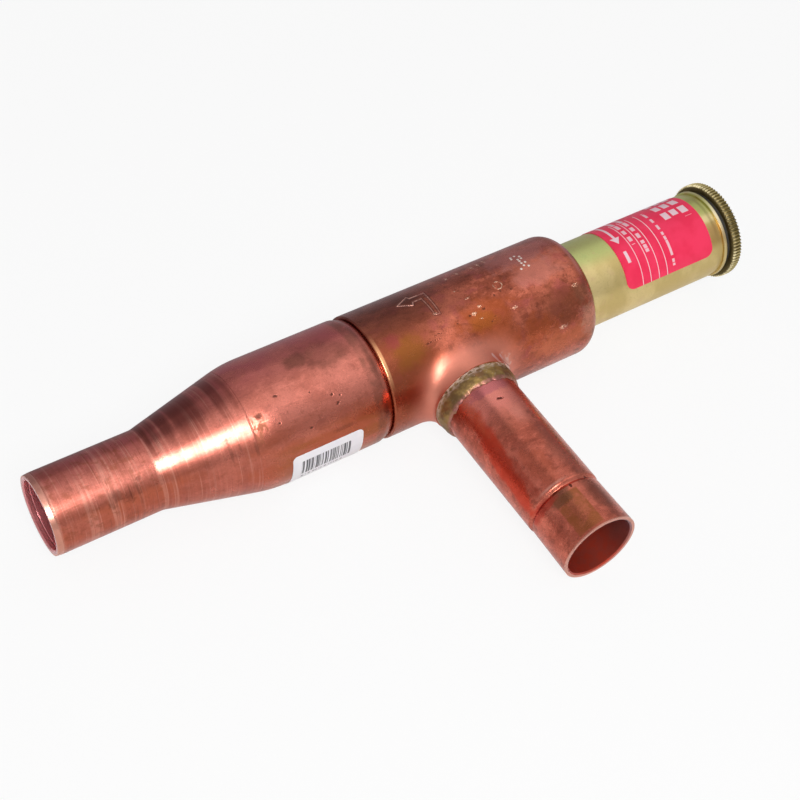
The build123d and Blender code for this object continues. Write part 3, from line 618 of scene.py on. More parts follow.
# Painted glints: bright spots on small rubs and raised marks, joined below by the small round mark.
glints = tee.cluster(tee.patch(104.7, 113.4, 0.7, 1.7, 1.0, 0.4), (
    (96.3, 99.2, 0.55, 1.1), (103.8, 85.6, 0.45, 0.9), (105.4, 97.6, 0.7, 1.2), (106.8, 109.0, 0.5, 1.3),
    (114.6, 121.9, 0.8, 1.6), (131.4, 124.9, 0.9, 1.8), (125.4, 156.1, 1.2, 2.0), (105.9, 119.6, 0.4, 0.9),
    (105.0, 64.0, 0.5, 2.4), (108.4, 62.0, 0.35, 3.0), (114.3, 61.5, 0.3, 4.0), (116.2, 60.0, 0.3, 4.0),
    (112.4, 63.0, 0.3, 3.0)), 1.1, 0.35)
glints = glints * tee.noise(0.45, 3.0, seed=43.0).rise(0.42, 0.54)
print("tee nodes so far", len(tee.tree.nodes))

# %% [markdown]
# A shallow flow arrow is engraved beside the seam. Its outline is a set of straight strokes on the
# unrolled surface, and the distance to the nearest stroke drives both the groove's bump and its
# bright raised burr. The same distance draws the scratches at the collar and a small round mark.

# %% Engraved flow arrow
MM_PER_DEGREE = 15.0 * math.pi / 180.0
arrow_outline = [(90.2, 75.0), (93.8, 67.6), (94.1, 71.0), (97.8, 71.5), (97.5, 100.6), (96.3, 100.0),
                 (96.2, 77.8), (93.9, 77.9), (93.4, 81.6), (90.2, 75.0)]
scratch_strokes = [((104.3, 149.0), (105.7, 159.5)), ((106.7, 153.5), (107.9, 166.0)),
                   ((107.6, 160.0), (109.2, 172.0))]


def stroke_distance(finish, start, end):
    """Distance in millimetres to a straight stroke on the unrolled surface."""
    ax, ay = start[0], start[1] * MM_PER_DEGREE
    bx, by = end[0] - ax, end[1] * MM_PER_DEGREE - ay
    px, py = finish.x - ax, finish.angle * MM_PER_DEGREE - ay
    along = ((px * bx + py * by) / (bx * bx + by * by)).clamp()
    dx, dy = px - along * bx, py - along * by
    return (dx * dx + dy * dy).root()


def nearest_stroke(finish, strokes):
    """Distance to the nearest of several strokes."""
    first, *others = [stroke_distance(finish, start, end) for start, end in strokes]
    for other in others:
        first = first.smaller(other)
    return first


nearest = nearest_stroke(tee, zip(arrow_outline[:-1], arrow_outline[1:]))
outer_skin = tee.radius.rise(14.6, 14.8)
groove = nearest.within(0.16, 0.34, 0.09) * outer_skin
# The burr's bright colour is partly rubbed copper and partly a painted highlight: it varies with noise and is
# fainter on the strokes past 86 degrees about the main line.
burr_wear_and_glint = 0.30 + 0.70 * tee.noise(1.5, 2.0, seed=21.0).rise(0.40, 0.58)
burr = nearest.fall(0.06, 0.24) * outer_skin * burr_wear_and_glint * (1.0 - 0.60 * tee.angle.rise(81.0, 86.0))
mark_x, mark_angle = tee.x - 113.8, tee.angle - 97.1
circle = mark_x * mark_x + mark_angle * mark_angle * (MM_PER_DEGREE * MM_PER_DEGREE)
circle = abs(circle.root() - 1.05).fall(0.06, 0.20)
glints = glints.larger(circle * tee.noise(0.9, 2.0, seed=31.0).rise(0.44, 0.60))
scratches = nearest_stroke(tee, scratch_strokes).fall(0.14, 0.40)
tone = tee.layers(
    tone,
    (scratches * 0.85, (0.95, 0.66, 0.62)),
    (tee.patch(107.4, 165.0, 2.4, 9.0, 1.1, 0.9) * 0.65, (0.80, 0.60, 0.52)),
    (glints * outer_skin * 0.9, (1.0, 0.62, 0.44)),
    (groove * 0.35, (0.15, 0.050, 0.034)),
    (burr * 0.80, (0.92, 0.50, 0.40)))
height = film_height + broad_noise * 0.3 - groove * 0.9 + burr * 0.9 - specks * 0.6 + glints * 0.9
heat = front * collar_distance.fall(13.0, 17.0)
tee.coat(tone, 1.0, shine + specks * 0.25 + heat * 0.12, height, 0.00008, 0.9)
dress("body_shell", tee.material)
print("tee nodes", len(tee.tree.nodes))

# %% [markdown]
# The inlet tube is redder, because it was brazed last and cooled in air. A burnt red streak runs
# down one side, an olive flux stain sits on the socket, and the film is blotchy. The pattern uses
# the distance along the branch and the angle about it.


# %% Branch copper
class BranchFinish(Finish):
    """A finish with the distance along the branch, and the angle and radius about it."""

    def __init__(self, name):
        super().__init__(name)
        self.along = self.y * -1.0
        self.across = self.x - branch_x / MM
        self.turn = self.z.bearing(self.across)
        self.radius = (self.across * self.across + self.z * self.z).root()

    def patch(self, reach, angle, reach_width, angle_width, ragged=0.5, grain=3.0, slant=0.0):
        """A ragged spot on the branch, whose angle may drift along it."""
        u = (self.along - reach) / reach_width
        v = (self.turn - angle - (self.along - reach) * slant) / angle_width
        edge = (self.noise(grain, 4.0, seed=reach) - 0.5) * (2.0 * ragged)
        return ((u * u + v * v).root() + edge).fall(0.62, 1.12)


branch = BranchFinish("branch_copper")
along, turn = branch.along, branch.turn
mottle = branch.noise(2.0, 4.0, seed=6.5)
tone, shine, film_height = worn_copper(branch, (0.64, 0.175, 0.118), (0.48, 0.118, 0.076), 1.5, 1.35)
tone = branch.layers(
    tone,
    (along.fall(25.0, 35.0) * turn.bell(92.0, 72.0) * 0.85, (0.92, 0.300, 0.245)),
    (along.bell(31.5, 4.5) * turn.bell(84.0, 18.0) * 0.60, (0.84, 0.300, 0.230)))
tone = branch.stained(tone, (
    (22.6, 92.0, 1.7, 44.0, 0.6, 1.4, 0.55, (0.50, 0.130, 0.170)),
    (31.5, 112.0, 5.0, 17.0, 0.9, 1.8, 0.25, (0.30, 0.085, 0.045)),
    (40.0, 152.0, 16.0, 17.0, 0.50, 3.0, 1.0, 0.85, (0.58, 0.055, 0.026)),
    (44.0, 140.0, 8.0, 9.0, 0.7, 2.4, 0.45, (0.40, 0.050, 0.030)),
    (26.0, 142.0, 5.5, 14.0, 0.7, 2.2, 0.60, (0.58, 0.100, 0.050)),
    (43.0, 66.0, 10.0, 22.0, 0.7, 3.0, 0.40, (0.34, 0.110, 0.080)),
    (46.0, 112.0, 6.0, 20.0, 0.8, 2.0, 0.40, (0.46, 0.100, 0.050))))
flux = along.within(54.4, 64.6, 0.25) * turn.within(90.0, 130.0, 1.2)
flux = flux * (0.55 + 0.45 * branch.noise(2.2, 4.0, seed=17.0).rise(0.36, 0.56))
tone = branch.blend(flux * 0.75, tone, (0.32, 0.105, 0.032))
tone = branch.stained(tone, (
    (54.6, 118.0, 2.3, 20.0, 0.6, 1.5, 0.70, (0.21, 0.085, 0.048)),
    (58.0, 66.0, 5.5, 19.0, 0.6, 2.2, 0.60, (0.26, 0.080, 0.052)),
    (53.6, 150.0, 1.5, 32.0, 0.5, 1.5, 0.70, (0.46, 0.045, 0.028))))
nick = union([
    branch.patch(26.4, 92.1, 0.40, 4.8, 0.9, 0.5, -6.0), branch.patch(53.6, 95.0, 0.6, 2.0, 0.9, 0.5),
    branch.patch(52.9, 62.0, 0.35, 3.0, 0.9, 0.5)])
inner = branch.radius.fall(8.30, 8.50)
# Painted light inside the bore: the wall is darkened as shade, brighter red low down as painted light, and
# purple-grey higher up as a painted reflection.
low_inside = inner * branch.z.fall(-7.0, -1.5)
purple_inside = inner * branch.z.rise(-2.0, 4.0) * branch.across.rise(-4.0, 5.0)
tone = branch.layers(
    tone,
    (nick * 0.9, (0.10, 0.022, 0.016)),
    # Painted highlight: a bright line on the ridge of the stop groove, on the lamp's side.
    (along.bell(51.4, 0.55) * turn.bell(118.0, 34.0) * 0.50, (0.95, 0.50, 0.40)),
    (along.rise(65.05, 65.25) * 0.65, (0.78, 0.42, 0.33)),
    # Painted shade and light inside the bore.
    (inner * 0.85, (0.30, 0.090, 0.078)),
    (low_inside * (0.70 + 0.25 * mottle.rise(0.40, 0.60)), (0.58, 0.066, 0.034)),
    (purple_inside * 0.7, (0.30, 0.190, 0.225)))
height = film_height + mottle * 0.25 - nick * 1.4
branch.coat(tone, 1.0 - inner * 0.30, shine + 0.10 * inner, height, 0.00008, 0.9)
dress("inlet_tube", branch.material)
print("branch nodes", len(branch.tree.nodes))

# %% [markdown]
# The branch opening was pulled out of the body tube hot, which leaves a wide smooth flare from the
# body into the collar. Its section is a curve with three control points: the collar's end, the foot
# on the body, and the corner where their two tangents meet, so it joins both without a crease. One
# section at each step about the branch gives the saddle shape, and the same copper runs over it.

# %% Pulled collar
bead_start, bead_end = -ring_high.y, -ring_low.y
bead_radius = (ring_high.x - ring_low.x) / 2
collar_radius = bead_radius + 0.00014
COLLAR_STEPS, COLLAR_ROWS = 192, 18
COLLAR_SINK = 0.0004


def on_body(radial, angle, radius):
    """Depth along -Y of a cylinder of a given radius, seen at a place about the branch."""
    return math.sqrt(radius * radius - (radial * math.sin(angle)) ** 2)


def ring_faces(steps, loop):
    """Faces between closed loops of points that follow each other round a ring."""
    faces = []
    for step in range(steps):
        here, there = step * loop, (step + 1) % steps * loop
        for row in range(loop):
            after = (row + 1) % loop
            faces.append((here + row, here + after, there + after, there + row))
    return faces


def finish_mesh(piece, angle=35.0):
    """Outward faces and smooth shading with kept edges."""
    work = bmesh.new()
    work.from_mesh(piece.data)
    bmesh.ops.remove_doubles(work, verts=work.verts, dist=1e-7)
    bmesh.ops.recalc_face_normals(work, faces=work.faces)
    work.to_mesh(piece.data)
    work.free()
    piece.data.polygons.foreach_set("use_smooth", [True] * len(piece.data.polygons))
    piece.data.set_sharp_from_angle(angle=math.radians(angle))
    piece.data.update()


collar_points = []
for step in range(COLLAR_STEPS):
    angle = 2 * math.pi * step / COLLAR_STEPS
    foot = collar_radius + 0.0036 + 0.0004 * math.cos(2 * angle)
    foot_z, near_z = foot * math.sin(angle), collar_radius * math.sin(angle)
    foot_reach = on_body(foot, angle, body_radius)
    corner_reach = (body_radius ** 2 - foot_z * near_z) / foot_reach
    section = []
    for row in range(COLLAR_ROWS):
        t = row / (COLLAR_ROWS - 1)
        a, b, c = (1 - t) ** 2, 2 * t * (1 - t), t * t
        reach = a * bead_start + b * corner_reach + c * foot_reach
        section.append(((a + b) * collar_radius + c * foot, reach))
    inner_radius = collar_radius - COLLAR_SINK
    section.append((foot, on_body(foot, angle, body_radius - COLLAR_SINK)))
    section.append((inner_radius, on_body(inner_radius, angle, body_radius - COLLAR_SINK)))
    section.append((inner_radius, bead_start - 0.00002))
    for radial, reach in section:
        collar_points.append((branch_x + radial * math.cos(angle), -reach, radial * math.sin(angle)))
collar = plain_mesh("pulled_collar", collar_points, ring_faces(COLLAR_STEPS, COLLAR_ROWS + 3))
finish_mesh(collar, 40.0)
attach(collar, "valve_body")
collar.data.materials.append(tee.material)
print("collar faces", len(collar.data.polygons))

# %% [markdown]
# The braze bead is filler metal that froze as it ran from the collar onto the tube. Its surface is
# lumpy, and both edges are scalloped. The solid has only its average shape, so a finer bead stands
# for it: rows of points from edge to edge, pushed out by a few sine waves that don't repeat evenly,
# with a closed inner side against the tube.

# %% Braze bead
BEAD_STEPS, BEAD_ROWS = 240, 22
EDGE_WAVES = ((5, 0.4, 0.35), (13, 2.1, 0.25), (23, 4.4, 0.22), (41, 1.2, 0.18))
LUMP_WAVES = ((7, 1.3, 0.4), (17, 0.2, 0.3), (29, 3.3, 0.3))


def wobble(angle, row_phase, waves):
    """Sum of sine waves about the tube, between -1 and 1."""
    return sum(math.sin(n * angle + row_phase * p + p) * w for n, p, w in waves)


bead_points = []
for step in range(BEAD_STEPS):
    angle = 2 * math.pi * step / BEAD_STEPS
    start = bead_start + 0.0001 * wobble(angle, 0.0, LUMP_WAVES)
    end = bead_end - 0.00030 + 0.00045 * wobble(angle, 1.0, EDGE_WAVES)
    section = []
    for row in range(BEAD_ROWS):
        share = row / (BEAD_ROWS - 1)
        crown = max(0.0, 1.0 - max(0.0, (share - 0.12) / 0.88) ** 2.4) ** 0.75
        lump = 0.00009 * wobble(angle, 5.0 * share, LUMP_WAVES) * math.sin(math.pi * share)
        radius = branch_radius + 0.00004 + (bead_radius - branch_radius - 0.00016) * crown + lump
        section.append((radius, start + (end - start) * share))
    section += [(branch_radius + 0.00001, end), (branch_radius + 0.00001, start)]
    for radius, reach in section:
        bead_points.append((branch_x + radius * math.cos(angle), -reach, radius * math.sin(angle)))
bead = plain_mesh("braze_bead", bead_points, ring_faces(BEAD_STEPS, BEAD_ROWS + 2))
finish_mesh(bead, 60.0)
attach(bead, "valve_body")
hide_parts("inlet_braze_ring")
print("bead faces", len(bead.data.polygons))

# %% [markdown]
# The filler is brass-coloured under a dull skin. Dry flux leaves a pale crust along the collar's
# edge, and the tube's edge turns pink where the filler is thinnest.

# %% Braze finish
braze = Finish("braze_crust")
along = braze.y * -1.0
crust_edge = along.fall(bead_start / MM + 0.4, bead_start / MM + 1.9)
pink_edge = along.rise(bead_end / MM - 1.3, bead_end / MM - 0.5)
flakes = braze.noise(0.55, 4.0, (0.5, 1.0, 0.5), seed=2.0)
crust = (crust_edge * flakes.rise(0.36, 0.60) + flakes.rise(0.60, 0.72) * 0.35).clamp()
tone = braze.layers(
    braze.blend(
        braze.noise(2.6, 4.0, seed=4.0).rise(0.38, 0.62), (0.32, 0.200, 0.062), (0.160, 0.092, 0.036)),
    (braze.noise(4.5, 3.0, seed=8.0).rise(0.50, 0.70) * 0.5, (0.25, 0.085, 0.045)),
    (crust * 0.90, (0.60, 0.44, 0.35)),
    (pink_edge * (0.35 + 0.5 * flakes.rise(0.40, 0.60)), (0.46, 0.170, 0.165)))
height = flakes * 0.8 + braze.noise(1.6, 4.0, seed=1.0) * 0.7
braze.coat(tone, 0.75 - crust * 0.55, 0.42 + crust * 0.3, height, 0.00012, 1.0)
bead.data.materials.append(braze.material)
print("braze nodes", len(braze.tree.nodes))

# %% [markdown]
# The spring housing is steel with a yellow chromate film. The film is thin enough to shift between straw,
# olive and a little pink, more so low on the side. Near its end the housing carries painted reflections of
# the cap, painted shade from the neck to the end and a painted highlight along the turned lip's edge. Inside,
# the thread for the cap and the setting screw shows as helical bump.

# %% Chromate housing
housing = TubeFinish("chromate_film")
drift = housing.noise(8.0, 3.0, (1.0, 0.7, 0.7), seed=2.0)
upper = housing.angle.fall(96.0, 118.0)
lip_start = housing_end / MM - 2.6
near_end = housing.x.rise(lip_start - 4.5, lip_start - 1.0)
# Painted shade: darker from the neck before the lip to the end.
neck_shade = housing.x.rise(lip_start - 1.5, lip_start + 0.8)
# Painted highlight along the lip's edge, strongest on the lamp's side.
edge_shine = housing.x.rise(lip_start + 1.65, lip_start + 2.0) * housing.radius.rise(10.5, 10.8)
edge_shine = edge_shine * (0.15 + 0.75 * housing.angle.bell(116.0, 34.0))
tone = housing.layers(
    housing.blend(drift.rise(0.36, 0.64), (0.80, 0.63, 0.29), (0.66, 0.50, 0.20)),
    (upper * 0.85, (0.60, 0.66, 0.245)),
    (housing.noise(4.0, 3.0, seed=7.0).rise(0.56, 0.72) * 0.40, (0.70, 0.46, 0.26)),
    (housing.noise(5.0, 3.0, seed=11.0).rise(0.56, 0.74) * upper * 0.45, (0.46, 0.58, 0.22)),
    (housing.noise(0.5, 3.0, seed=13.0).rise(0.50, 0.70) * 0.22, (0.50, 0.38, 0.15)),
    # Painted reflections of the cap, brown and olive, before the lip, with a painted highlight between them.
    (near_end * housing.angle.within(120.0, 150.0, 7.0) * 0.65, (0.50, 0.28, 0.080)),
    (near_end * housing.angle.within(70.0, 104.0, 7.0) * 0.45, (0.36, 0.36, 0.085)),
    (near_end * housing.angle.within(107.0, 117.0, 3.0) * 0.60, (0.95, 0.78, 0.42)),
    (neck_shade * 0.20, (0.46, 0.36, 0.15)),
    (edge_shine, (1.0, 0.88, 0.62)))
thread_bore = housing.radius.fall(8.9, 9.1)
thread = abs((housing.x - housing.angle / 360.0).fraction() - 0.5) * 2.0 * thread_bore
thread = thread * housing.x.rise(158.9, 159.2)
height = housing.rings(0.22, 3.0, 3.0) * 0.35 + housing.noise(0.9, 3.0, seed=5.0) * 0.25
normal = housing.bump(thread, 0.0004, 1.0, housing.bump(height, 0.00005, 0.8))
housing.set(Base_Color=tone, Metallic=0.92, Roughness=0.28 + 0.10 * drift, Normal=normal)
dress("spring_housing", housing.material)
print("housing nodes", len(housing.tree.nodes))

# %% [markdown]
# The cap is a turned brass screw cap. Its plain core and the threaded shank below the rim are swept
# in mesh code, because their outline changes along the axis: a list of points gives the outline,
# and a small function cuts the helical thread into the shank.


# %% Swept cap
def swept(name, profile, steps, shift):
    """Closed mesh swept about the main line from (x, radius) points, where shift moves the radius."""
    points, faces = [], []
    for step in range(steps):
        angle = 2 * math.pi * step / steps
        for x, radius in profile:
            r = shift(x, radius, angle)
            points.append((x, r * math.cos(angle), r * math.sin(angle)))
    count = len(profile)
    for step in range(steps):
        here, there = step * count, (step + 1) % steps * count
        for i in range(count - 1):
            faces.append((here + i, here + i + 1, there + i + 1, there + i))
    for end in (0, count - 1):
        points.append((profile[end][0], 0.0, 0.0))
        middle = len(points) - 1
        for step in range(steps):
            faces.append((step * count + end, (step + 1) % steps * count + end, middle))
    made = plain_mesh(name, points, faces)
    finish_mesh(made)
    return made


rim_start, rim_end, rim_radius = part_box("cap_gasket")[1].x, cap_high.x, cap_high.z
shank_start, shank_radius, shank_wall = cap_low.x, 0.0085, 0.0013
crown = 0.0026
TOOTH = 0.00046
THREAD_DEPTH = 0.0004
THREAD_ROWS = 66


def rim_drop(a):
    """How far the rim's section falls from its crown: tighter on the housing's side."""
    drop, power = (0.00045, 3.0) if a < math.pi / 2 else (0.00105, 1.6)
    return drop * (1.0 - math.sin(a)) ** power


def rim_rows(angles):
    """Places along the rim, as (x, radius of the core, angle round the section)."""
    width = rim_end - rim_start
    return [(rim_start + width * (0.5 - 0.5 * math.cos(a)), rim_radius - TOOTH - rim_drop(a), a)
            for a in angles]


core = [(x, radius) for x, radius, a in rim_rows([i * math.pi / 14 for i in range(15)])]
face = [(rim_end, rim_radius - 0.0019), (rim_end - 0.00012, rim_radius - 0.0025), (rim_end - 0.00012, 0.0012)]
thread_end = rim_start - 0.0022
rows = [shank_start + (thread_end - shank_start) * i / THREAD_ROWS for i in range(THREAD_ROWS + 1)]
shank = [(shank_start, shank_radius - shank_wall)] + [(x, shank_radius) for x in rows]
neck = [(thread_end + 0.0004, shank_radius - 0.0005), (rim_start - 0.00002, shank_radius - 0.0005),
        (rim_start, rim_radius - 0.0009)]
hollow = [(rim_end - crown, 0.0004), (rim_end - crown, shank_radius - shank_wall)]


def cap_thread(x, radius, angle):
    """Cuts the shank's thread into the swept surface, with a small chamfer at its end."""
    if abs(radius - shank_radius) > 1e-6 or x > thread_end + 1e-6:
        return radius
    phase = (x / MM - angle / (2 * math.pi)) % 1.0
    fade = min(1.0, max(0.0, (x - shank_start) / 0.0004), max(0.0, (thread_end - x) / 0.0004))
    chamfer = 0.0003 if x < shank_start + 1e-6 else 0.0
    return radius - THREAD_DEPTH * fade * (1.0 - abs(2.0 * phase - 1.0)) - chamfer


cap_body = swept("cap_body", hollow + shank + neck + core[1:] + face, 144, cap_thread)
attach(cap_body, "protective_cap")
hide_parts("protective_cap")
print("cap faces", len(cap_body.data.polygons))

# %% [markdown]
# Aged brass is darker in the valleys and lighter on the crests, partly rubbed and partly a painted highlight
# that is strongest along the rim's edge on the housing's side. The radius tells them apart, so one expression
# gives both the dark valleys and the light crests.

# %% Cap brass
cap = TubeFinish("aged_brass")
film = cap.noise(2.4, 4.0, seed=3.0)
start, top = rim_start / MM, rim_radius / MM
# The crests are lighter, partly rubbed and partly a painted highlight, and a stronger painted highlight runs
# along the rim's edge on the housing's side.
crest = cap.radius.rise(top - 0.36, top - 0.04)
rim_edge_highlight = cap.x.within(start + 0.15, start + 0.95, 0.2) * cap.radius.rise(top - 0.75, top - 0.25)
rim_edge_highlight = rim_edge_highlight * (0.25 + 0.75 * cap.noise(1.5, 3.0, seed=9.0).rise(0.35, 0.6))
# Darker in the valleys of the knurling.
valley_mask = cap.radius.fall(top - 0.60, top - 0.22) * cap.radius.rise(10.3, 10.6)
tone = cap.layers(
    cap.blend(film.rise(0.36, 0.64), (0.36, 0.285, 0.105), (0.22, 0.170, 0.062)),
    (crest * 0.60, (0.82, 0.68, 0.34)),
    (rim_edge_highlight, (1.0, 0.88, 0.55)),
    (valley_mask * 0.75, (0.075, 0.055, 0.022)))
face_side = cap.x.rise(rim_end / MM - 0.2, rim_end / MM - 0.08)
height = film * 0.4 + face_side * cap.stripes(cap.radius, 3.2, 3.0)
cap.coat(tone, 0.95, 0.33 + 0.14 * film + valley_mask * 0.15, height, 0.00006, 0.9)
cap_body.data.materials.append(cap.material)
print("cap nodes", len(cap.tree.nodes))

# %% [markdown]
# The cap's convex rim carries straight knurling, which is the same tooth repeated around a circle,
# so Geometry Nodes place one small ridge at each step and turn it to face outwards. A small class
# wraps such a tree with its inputs. It runs the tree once and keeps the result as a plain mesh.

# %% Knurling with Geometry Nodes
KNURL_COUNT = 84
ridge_points, ridge_faces = [], []
half_width = math.pi * rim_radius / KNURL_COUNT * 0.80
ridge_rows = rim_rows([math.pi * (0.13 + 0.76 * i / 10) for i in range(11)])
for x, radius, a in ridge_rows:
    crest_radius = radius + TOOTH * min(1.0, math.sin(a) * 2.2)
    ridge_points += [
        (x, radius - 0.0002, -half_width), (x, radius, -half_width * 0.75), (x, crest_radius, 0.0),
        (x, radius, half_width * 0.75), (x, radius - 0.0002, half_width)]
for row in range(len(ridge_rows) - 1):
    for i in range(5):
        a, b = row * 5 + i, row * 5 + (i + 1) % 5
        ridge_faces.append((a, b, b + 5, a + 5))
ridge_faces += [tuple(range(5)), tuple(range(len(ridge_points) - 5, len(ridge_points)))]
ridge = plain_mesh("knurl_ridge", ridge_points, ridge_faces)
finish_mesh(ridge, 50.0)


class Grower(Tree):
    """A Geometry Nodes tree with named inputs, whose instances become one plain mesh."""

    def __init__(self, name, inputs):
        super().__init__(bpy.data.node_groups.new(name, "GeometryNodeTree"))
        sockets = self.tree.interface
        sockets.new_socket(name="Geometry", in_out="OUTPUT", socket_type="NodeSocketGeometry")
        self.values = {}
        for key, (kind, value) in inputs.items():
            socket = sockets.new_socket(name=key, in_out="INPUT", socket_type="NodeSocket" + kind)
            self.values[socket.identifier] = value

    def given(self, name):
        return self.node("NodeGroupInput", output=name)

    def split(self, vector):
        """The x and y fields of a vector."""
        return [self.node("ShaderNodeSeparateXYZ", {}, {0: vector}, axis) for axis in range(2)]

    def grow(self, name, points, shape, body, slot, **placing):
        """Puts a copy of the shape on each point, and keeps the result as a piece on a body."""
        copies = self.node("GeometryNodeObjectInfo", {}, {"Object": self.given(shape)}, "Geometry")
        placed = self.node(
            "GeometryNodeInstanceOnPoints", {}, {"Points": points, "Instance": copies, **placing})
        solid = self.node("GeometryNodeRealizeInstances", {}, {0: placed})
        coated = self.node(
            "GeometryNodeSetMaterial", {}, {"Geometry": solid, "Material": self.given("Finish")})
        self.feed(self.tree.nodes.new("NodeGroupOutput").inputs[0], coated)
        host = plain_mesh(name + "_host", [(0, 0, 0)], [])
        modifier = host.modifiers.new("grow", "NODES")
        modifier.node_group = self.tree
        for identifier, value in self.values.items():
            modifier[identifier] = value
        bpy.context.view_layer.update()
        done = host.evaluated_get(bpy.context.evaluated_depsgraph_get())
        made = bpy.data.objects.new(name, bpy.data.meshes.new_from_object(done))
        bpy.context.scene.collection.objects.link(made)
        host.modifiers.clear()
        bpy.data.objects.remove(host)
        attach(made, body)
        return made


knurling = Grower("knurl", {
    "Teeth": ("Int", KNURL_COUNT), "Ridge": ("Object", ridge), "Finish": ("Material", cap.material)})
teeth = knurling.given("Teeth")
tooth_angle = knurling.node("GeometryNodeInputIndex") * (2 * math.pi / teeth)
tooth_turn = knurling.node("ShaderNodeCombineXYZ", {}, {"X": tooth_angle})
axis_points = knurling.node("GeometryNodeMeshLine", {"mode": "OFFSET"}, {"Count": teeth, "Offset": (0, 0, 0)})
knurl = knurling.grow(
    "cap_knurl", axis_points, "Ridge", "protective_cap", "cap_plating",
    Rotation=knurling.node("FunctionNodeEulerToRotation", {}, {0: tooth_turn}))
bpy.data.objects.remove(ridge)
finish_mesh(knurl, 50.0)
print("knurl faces", len(knurl.data.polygons), "materials", len(knurl.data.materials))

# %% [markdown]
# The label is a glossy film, printed in one red with white marks. It carries no words here: thin
# ruled lines, an arrow with its minus bar for the direction of setting, and short plain bars where
# rows of print would be. All are drawn on the unrolled label, from the distance along it and the
# angle about the housing, so they can't slip off it.

# %% Printed label
label = TubeFinish("red_label_film")
left = label_start / MM


def printed(x_low, x_high, angle_low, angle_high):
    """A solid printed bar on the unrolled label."""
    return label.x.within(left + x_low, left + x_high, 0.05) * label.angle.within(angle_low, angle_high, 0.5)


ruled = [label.x.within(left + low, left + low + 0.2, 0.05) * label.angle.rise(58.0, 59.0)
         for low in (4.55, 6.95, 9.45, 11.95)]
arrow_tail = printed(2.05, 2.75, 28.0, 89.0)
head_reach = (label.angle - 87.0) / 10.5
arrow_head = (abs(label.x - (left + 2.4)) - (1.0 - head_reach) * 1.35).fall(-0.06, 0.06)
arrow_head = arrow_head * label.angle.within(87.0, 97.5, 0.5)
minus_bar = printed(1.95, 2.85, 110.0, 126.0)
dashes = label.stripes(label.angle * 0.16).rise(0.40, 0.43)
dash_rows = [(5.2, 6.2, 40.0, 106.0), (7.7, 8.7, 40.0, 122.0), (13.9, 14.6, 62.0, 152.0)]
bold = label.stripes(label.angle * 0.10 + 7.0).rise(0.36, 0.39)
bold_rows = [(17.4, 19.2, 20.0, 97.0), (20.0, 21.8, 20.0, 90.0), (22.6, 24.6, 20.0, 98.0)]
ink = union([*ruled, arrow_tail, arrow_head, minus_bar, *[printed(*row) * dashes * 0.85 for row in dash_rows],
             *[printed(*row) * bold for row in bold_rows]])
film = label.noise(6.0, 3.0, seed=2.0)
tone = label.blend(film.rise(0.35, 0.65), (0.92, 0.030, 0.095), (0.98, 0.045, 0.125))
tone = label.blend(ink * 0.9, tone, (0.95, 0.74, 0.80))
height = label.noise(1.8, 3.0, seed=6.0) * 0.4 + ink * 0.15
label.coat(tone, 0.0, 0.34 + 0.08 * film, height, 0.00004, 0.8)
label.set(Coat_Weight=0.06 + 0.04 * film, Coat_Roughness=0.12, Specular_IOR_Level=0.22)
dress("name_label", label.material)
print("label nodes", len(label.tree.nodes))

# %% [markdown]
# The small sticker on the reducer is white film with a block of upright bars. The bars are random
# stripes from one-dimensional noise, so they stand for a code without being one.

# %% Bar sticker
sticker = TubeFinish("white_sticker_film")
start = sticker_start / MM
bars = sticker.stripes(sticker.x * 2.3 + 4.0, 1.0, 1.0, 0.6).rise(0.47, 0.50)
block = sticker.x.within(start + 2.2, start + 15.0, 0.05) * sticker.angle.within(177.0, 196.0, 0.3)
under = sticker.x.within(start + 2.2, start + 13.0, 0.05) * sticker.angle.within(200.0, 203.0, 0.4)
ticks = sticker.stripes(sticker.x * 1.7 + 9.0).rise(0.48, 0.52)
ink = (block * bars).larger(under * ticks * 0.8)
film = sticker.noise(5.0, 3.0, seed=3.0)
tone = sticker.blend(film.rise(0.3, 0.7), (0.86, 0.85, 0.90), (0.91, 0.90, 0.93))
tone = sticker.blend(ink * 0.93, tone, (0.03, 0.03, 0.04))
sticker.coat(tone, 0.0, 0.36 + 0.08 * film, sticker.noise(1.5, 3.0, seed=4.0), 0.00002, 0.6)
dress("bar_label", sticker.material)
print("sticker nodes", len(sticker.tree.nodes))

# %% [markdown]
# Near the shoulder a marking tool left a small field of round punch marks. Each mark is the same
# shallow raised ring with a dimple, so Geometry Nodes put it on a fixed grid over the copper and
# leave some places empty by chance, with a fixed seed.

# %% Punch marks
MARK_RINGS = [(0.12, 0.024), (0.22, 0.026), (0.30, 0.010), (0.36, -0.03)]
MARK_SIDES = 10
MARK_SHAKE = 0.00012
mark_points = [(0.0, 0.0, 0.012 * MM)]
mark_faces = []
for radius, height in MARK_RINGS:
    for side in range(MARK_SIDES):
        angle = 2 * math.pi * side / MARK_SIDES
        mark_points.append((radius * MM * math.cos(angle), radius * MM * math.sin(angle), height * MM))
for side in range(MARK_SIDES):
    after = (side + 1) % MARK_SIDES
    mark_faces.append((0, 1 + side, 1 + after))
    for ring in range(len(MARK_RINGS) - 1):
        a, b = 1 + ring * MARK_SIDES, 1 + (ring + 1) * MARK_SIDES
        mark_faces.append((a + side, b + side, b + after, a + after))
last_ring = 1 + (len(MARK_RINGS) - 1) * MARK_SIDES
mark_faces.append(tuple(last_ring + side for side in reversed(range(MARK_SIDES))))
mark = plain_mesh("punch_mark", mark_points, mark_faces)
finish_mesh(mark, 80.0)
bright = TubeFinish("punched_copper")
height_over = bright.radius - body_radius / MM
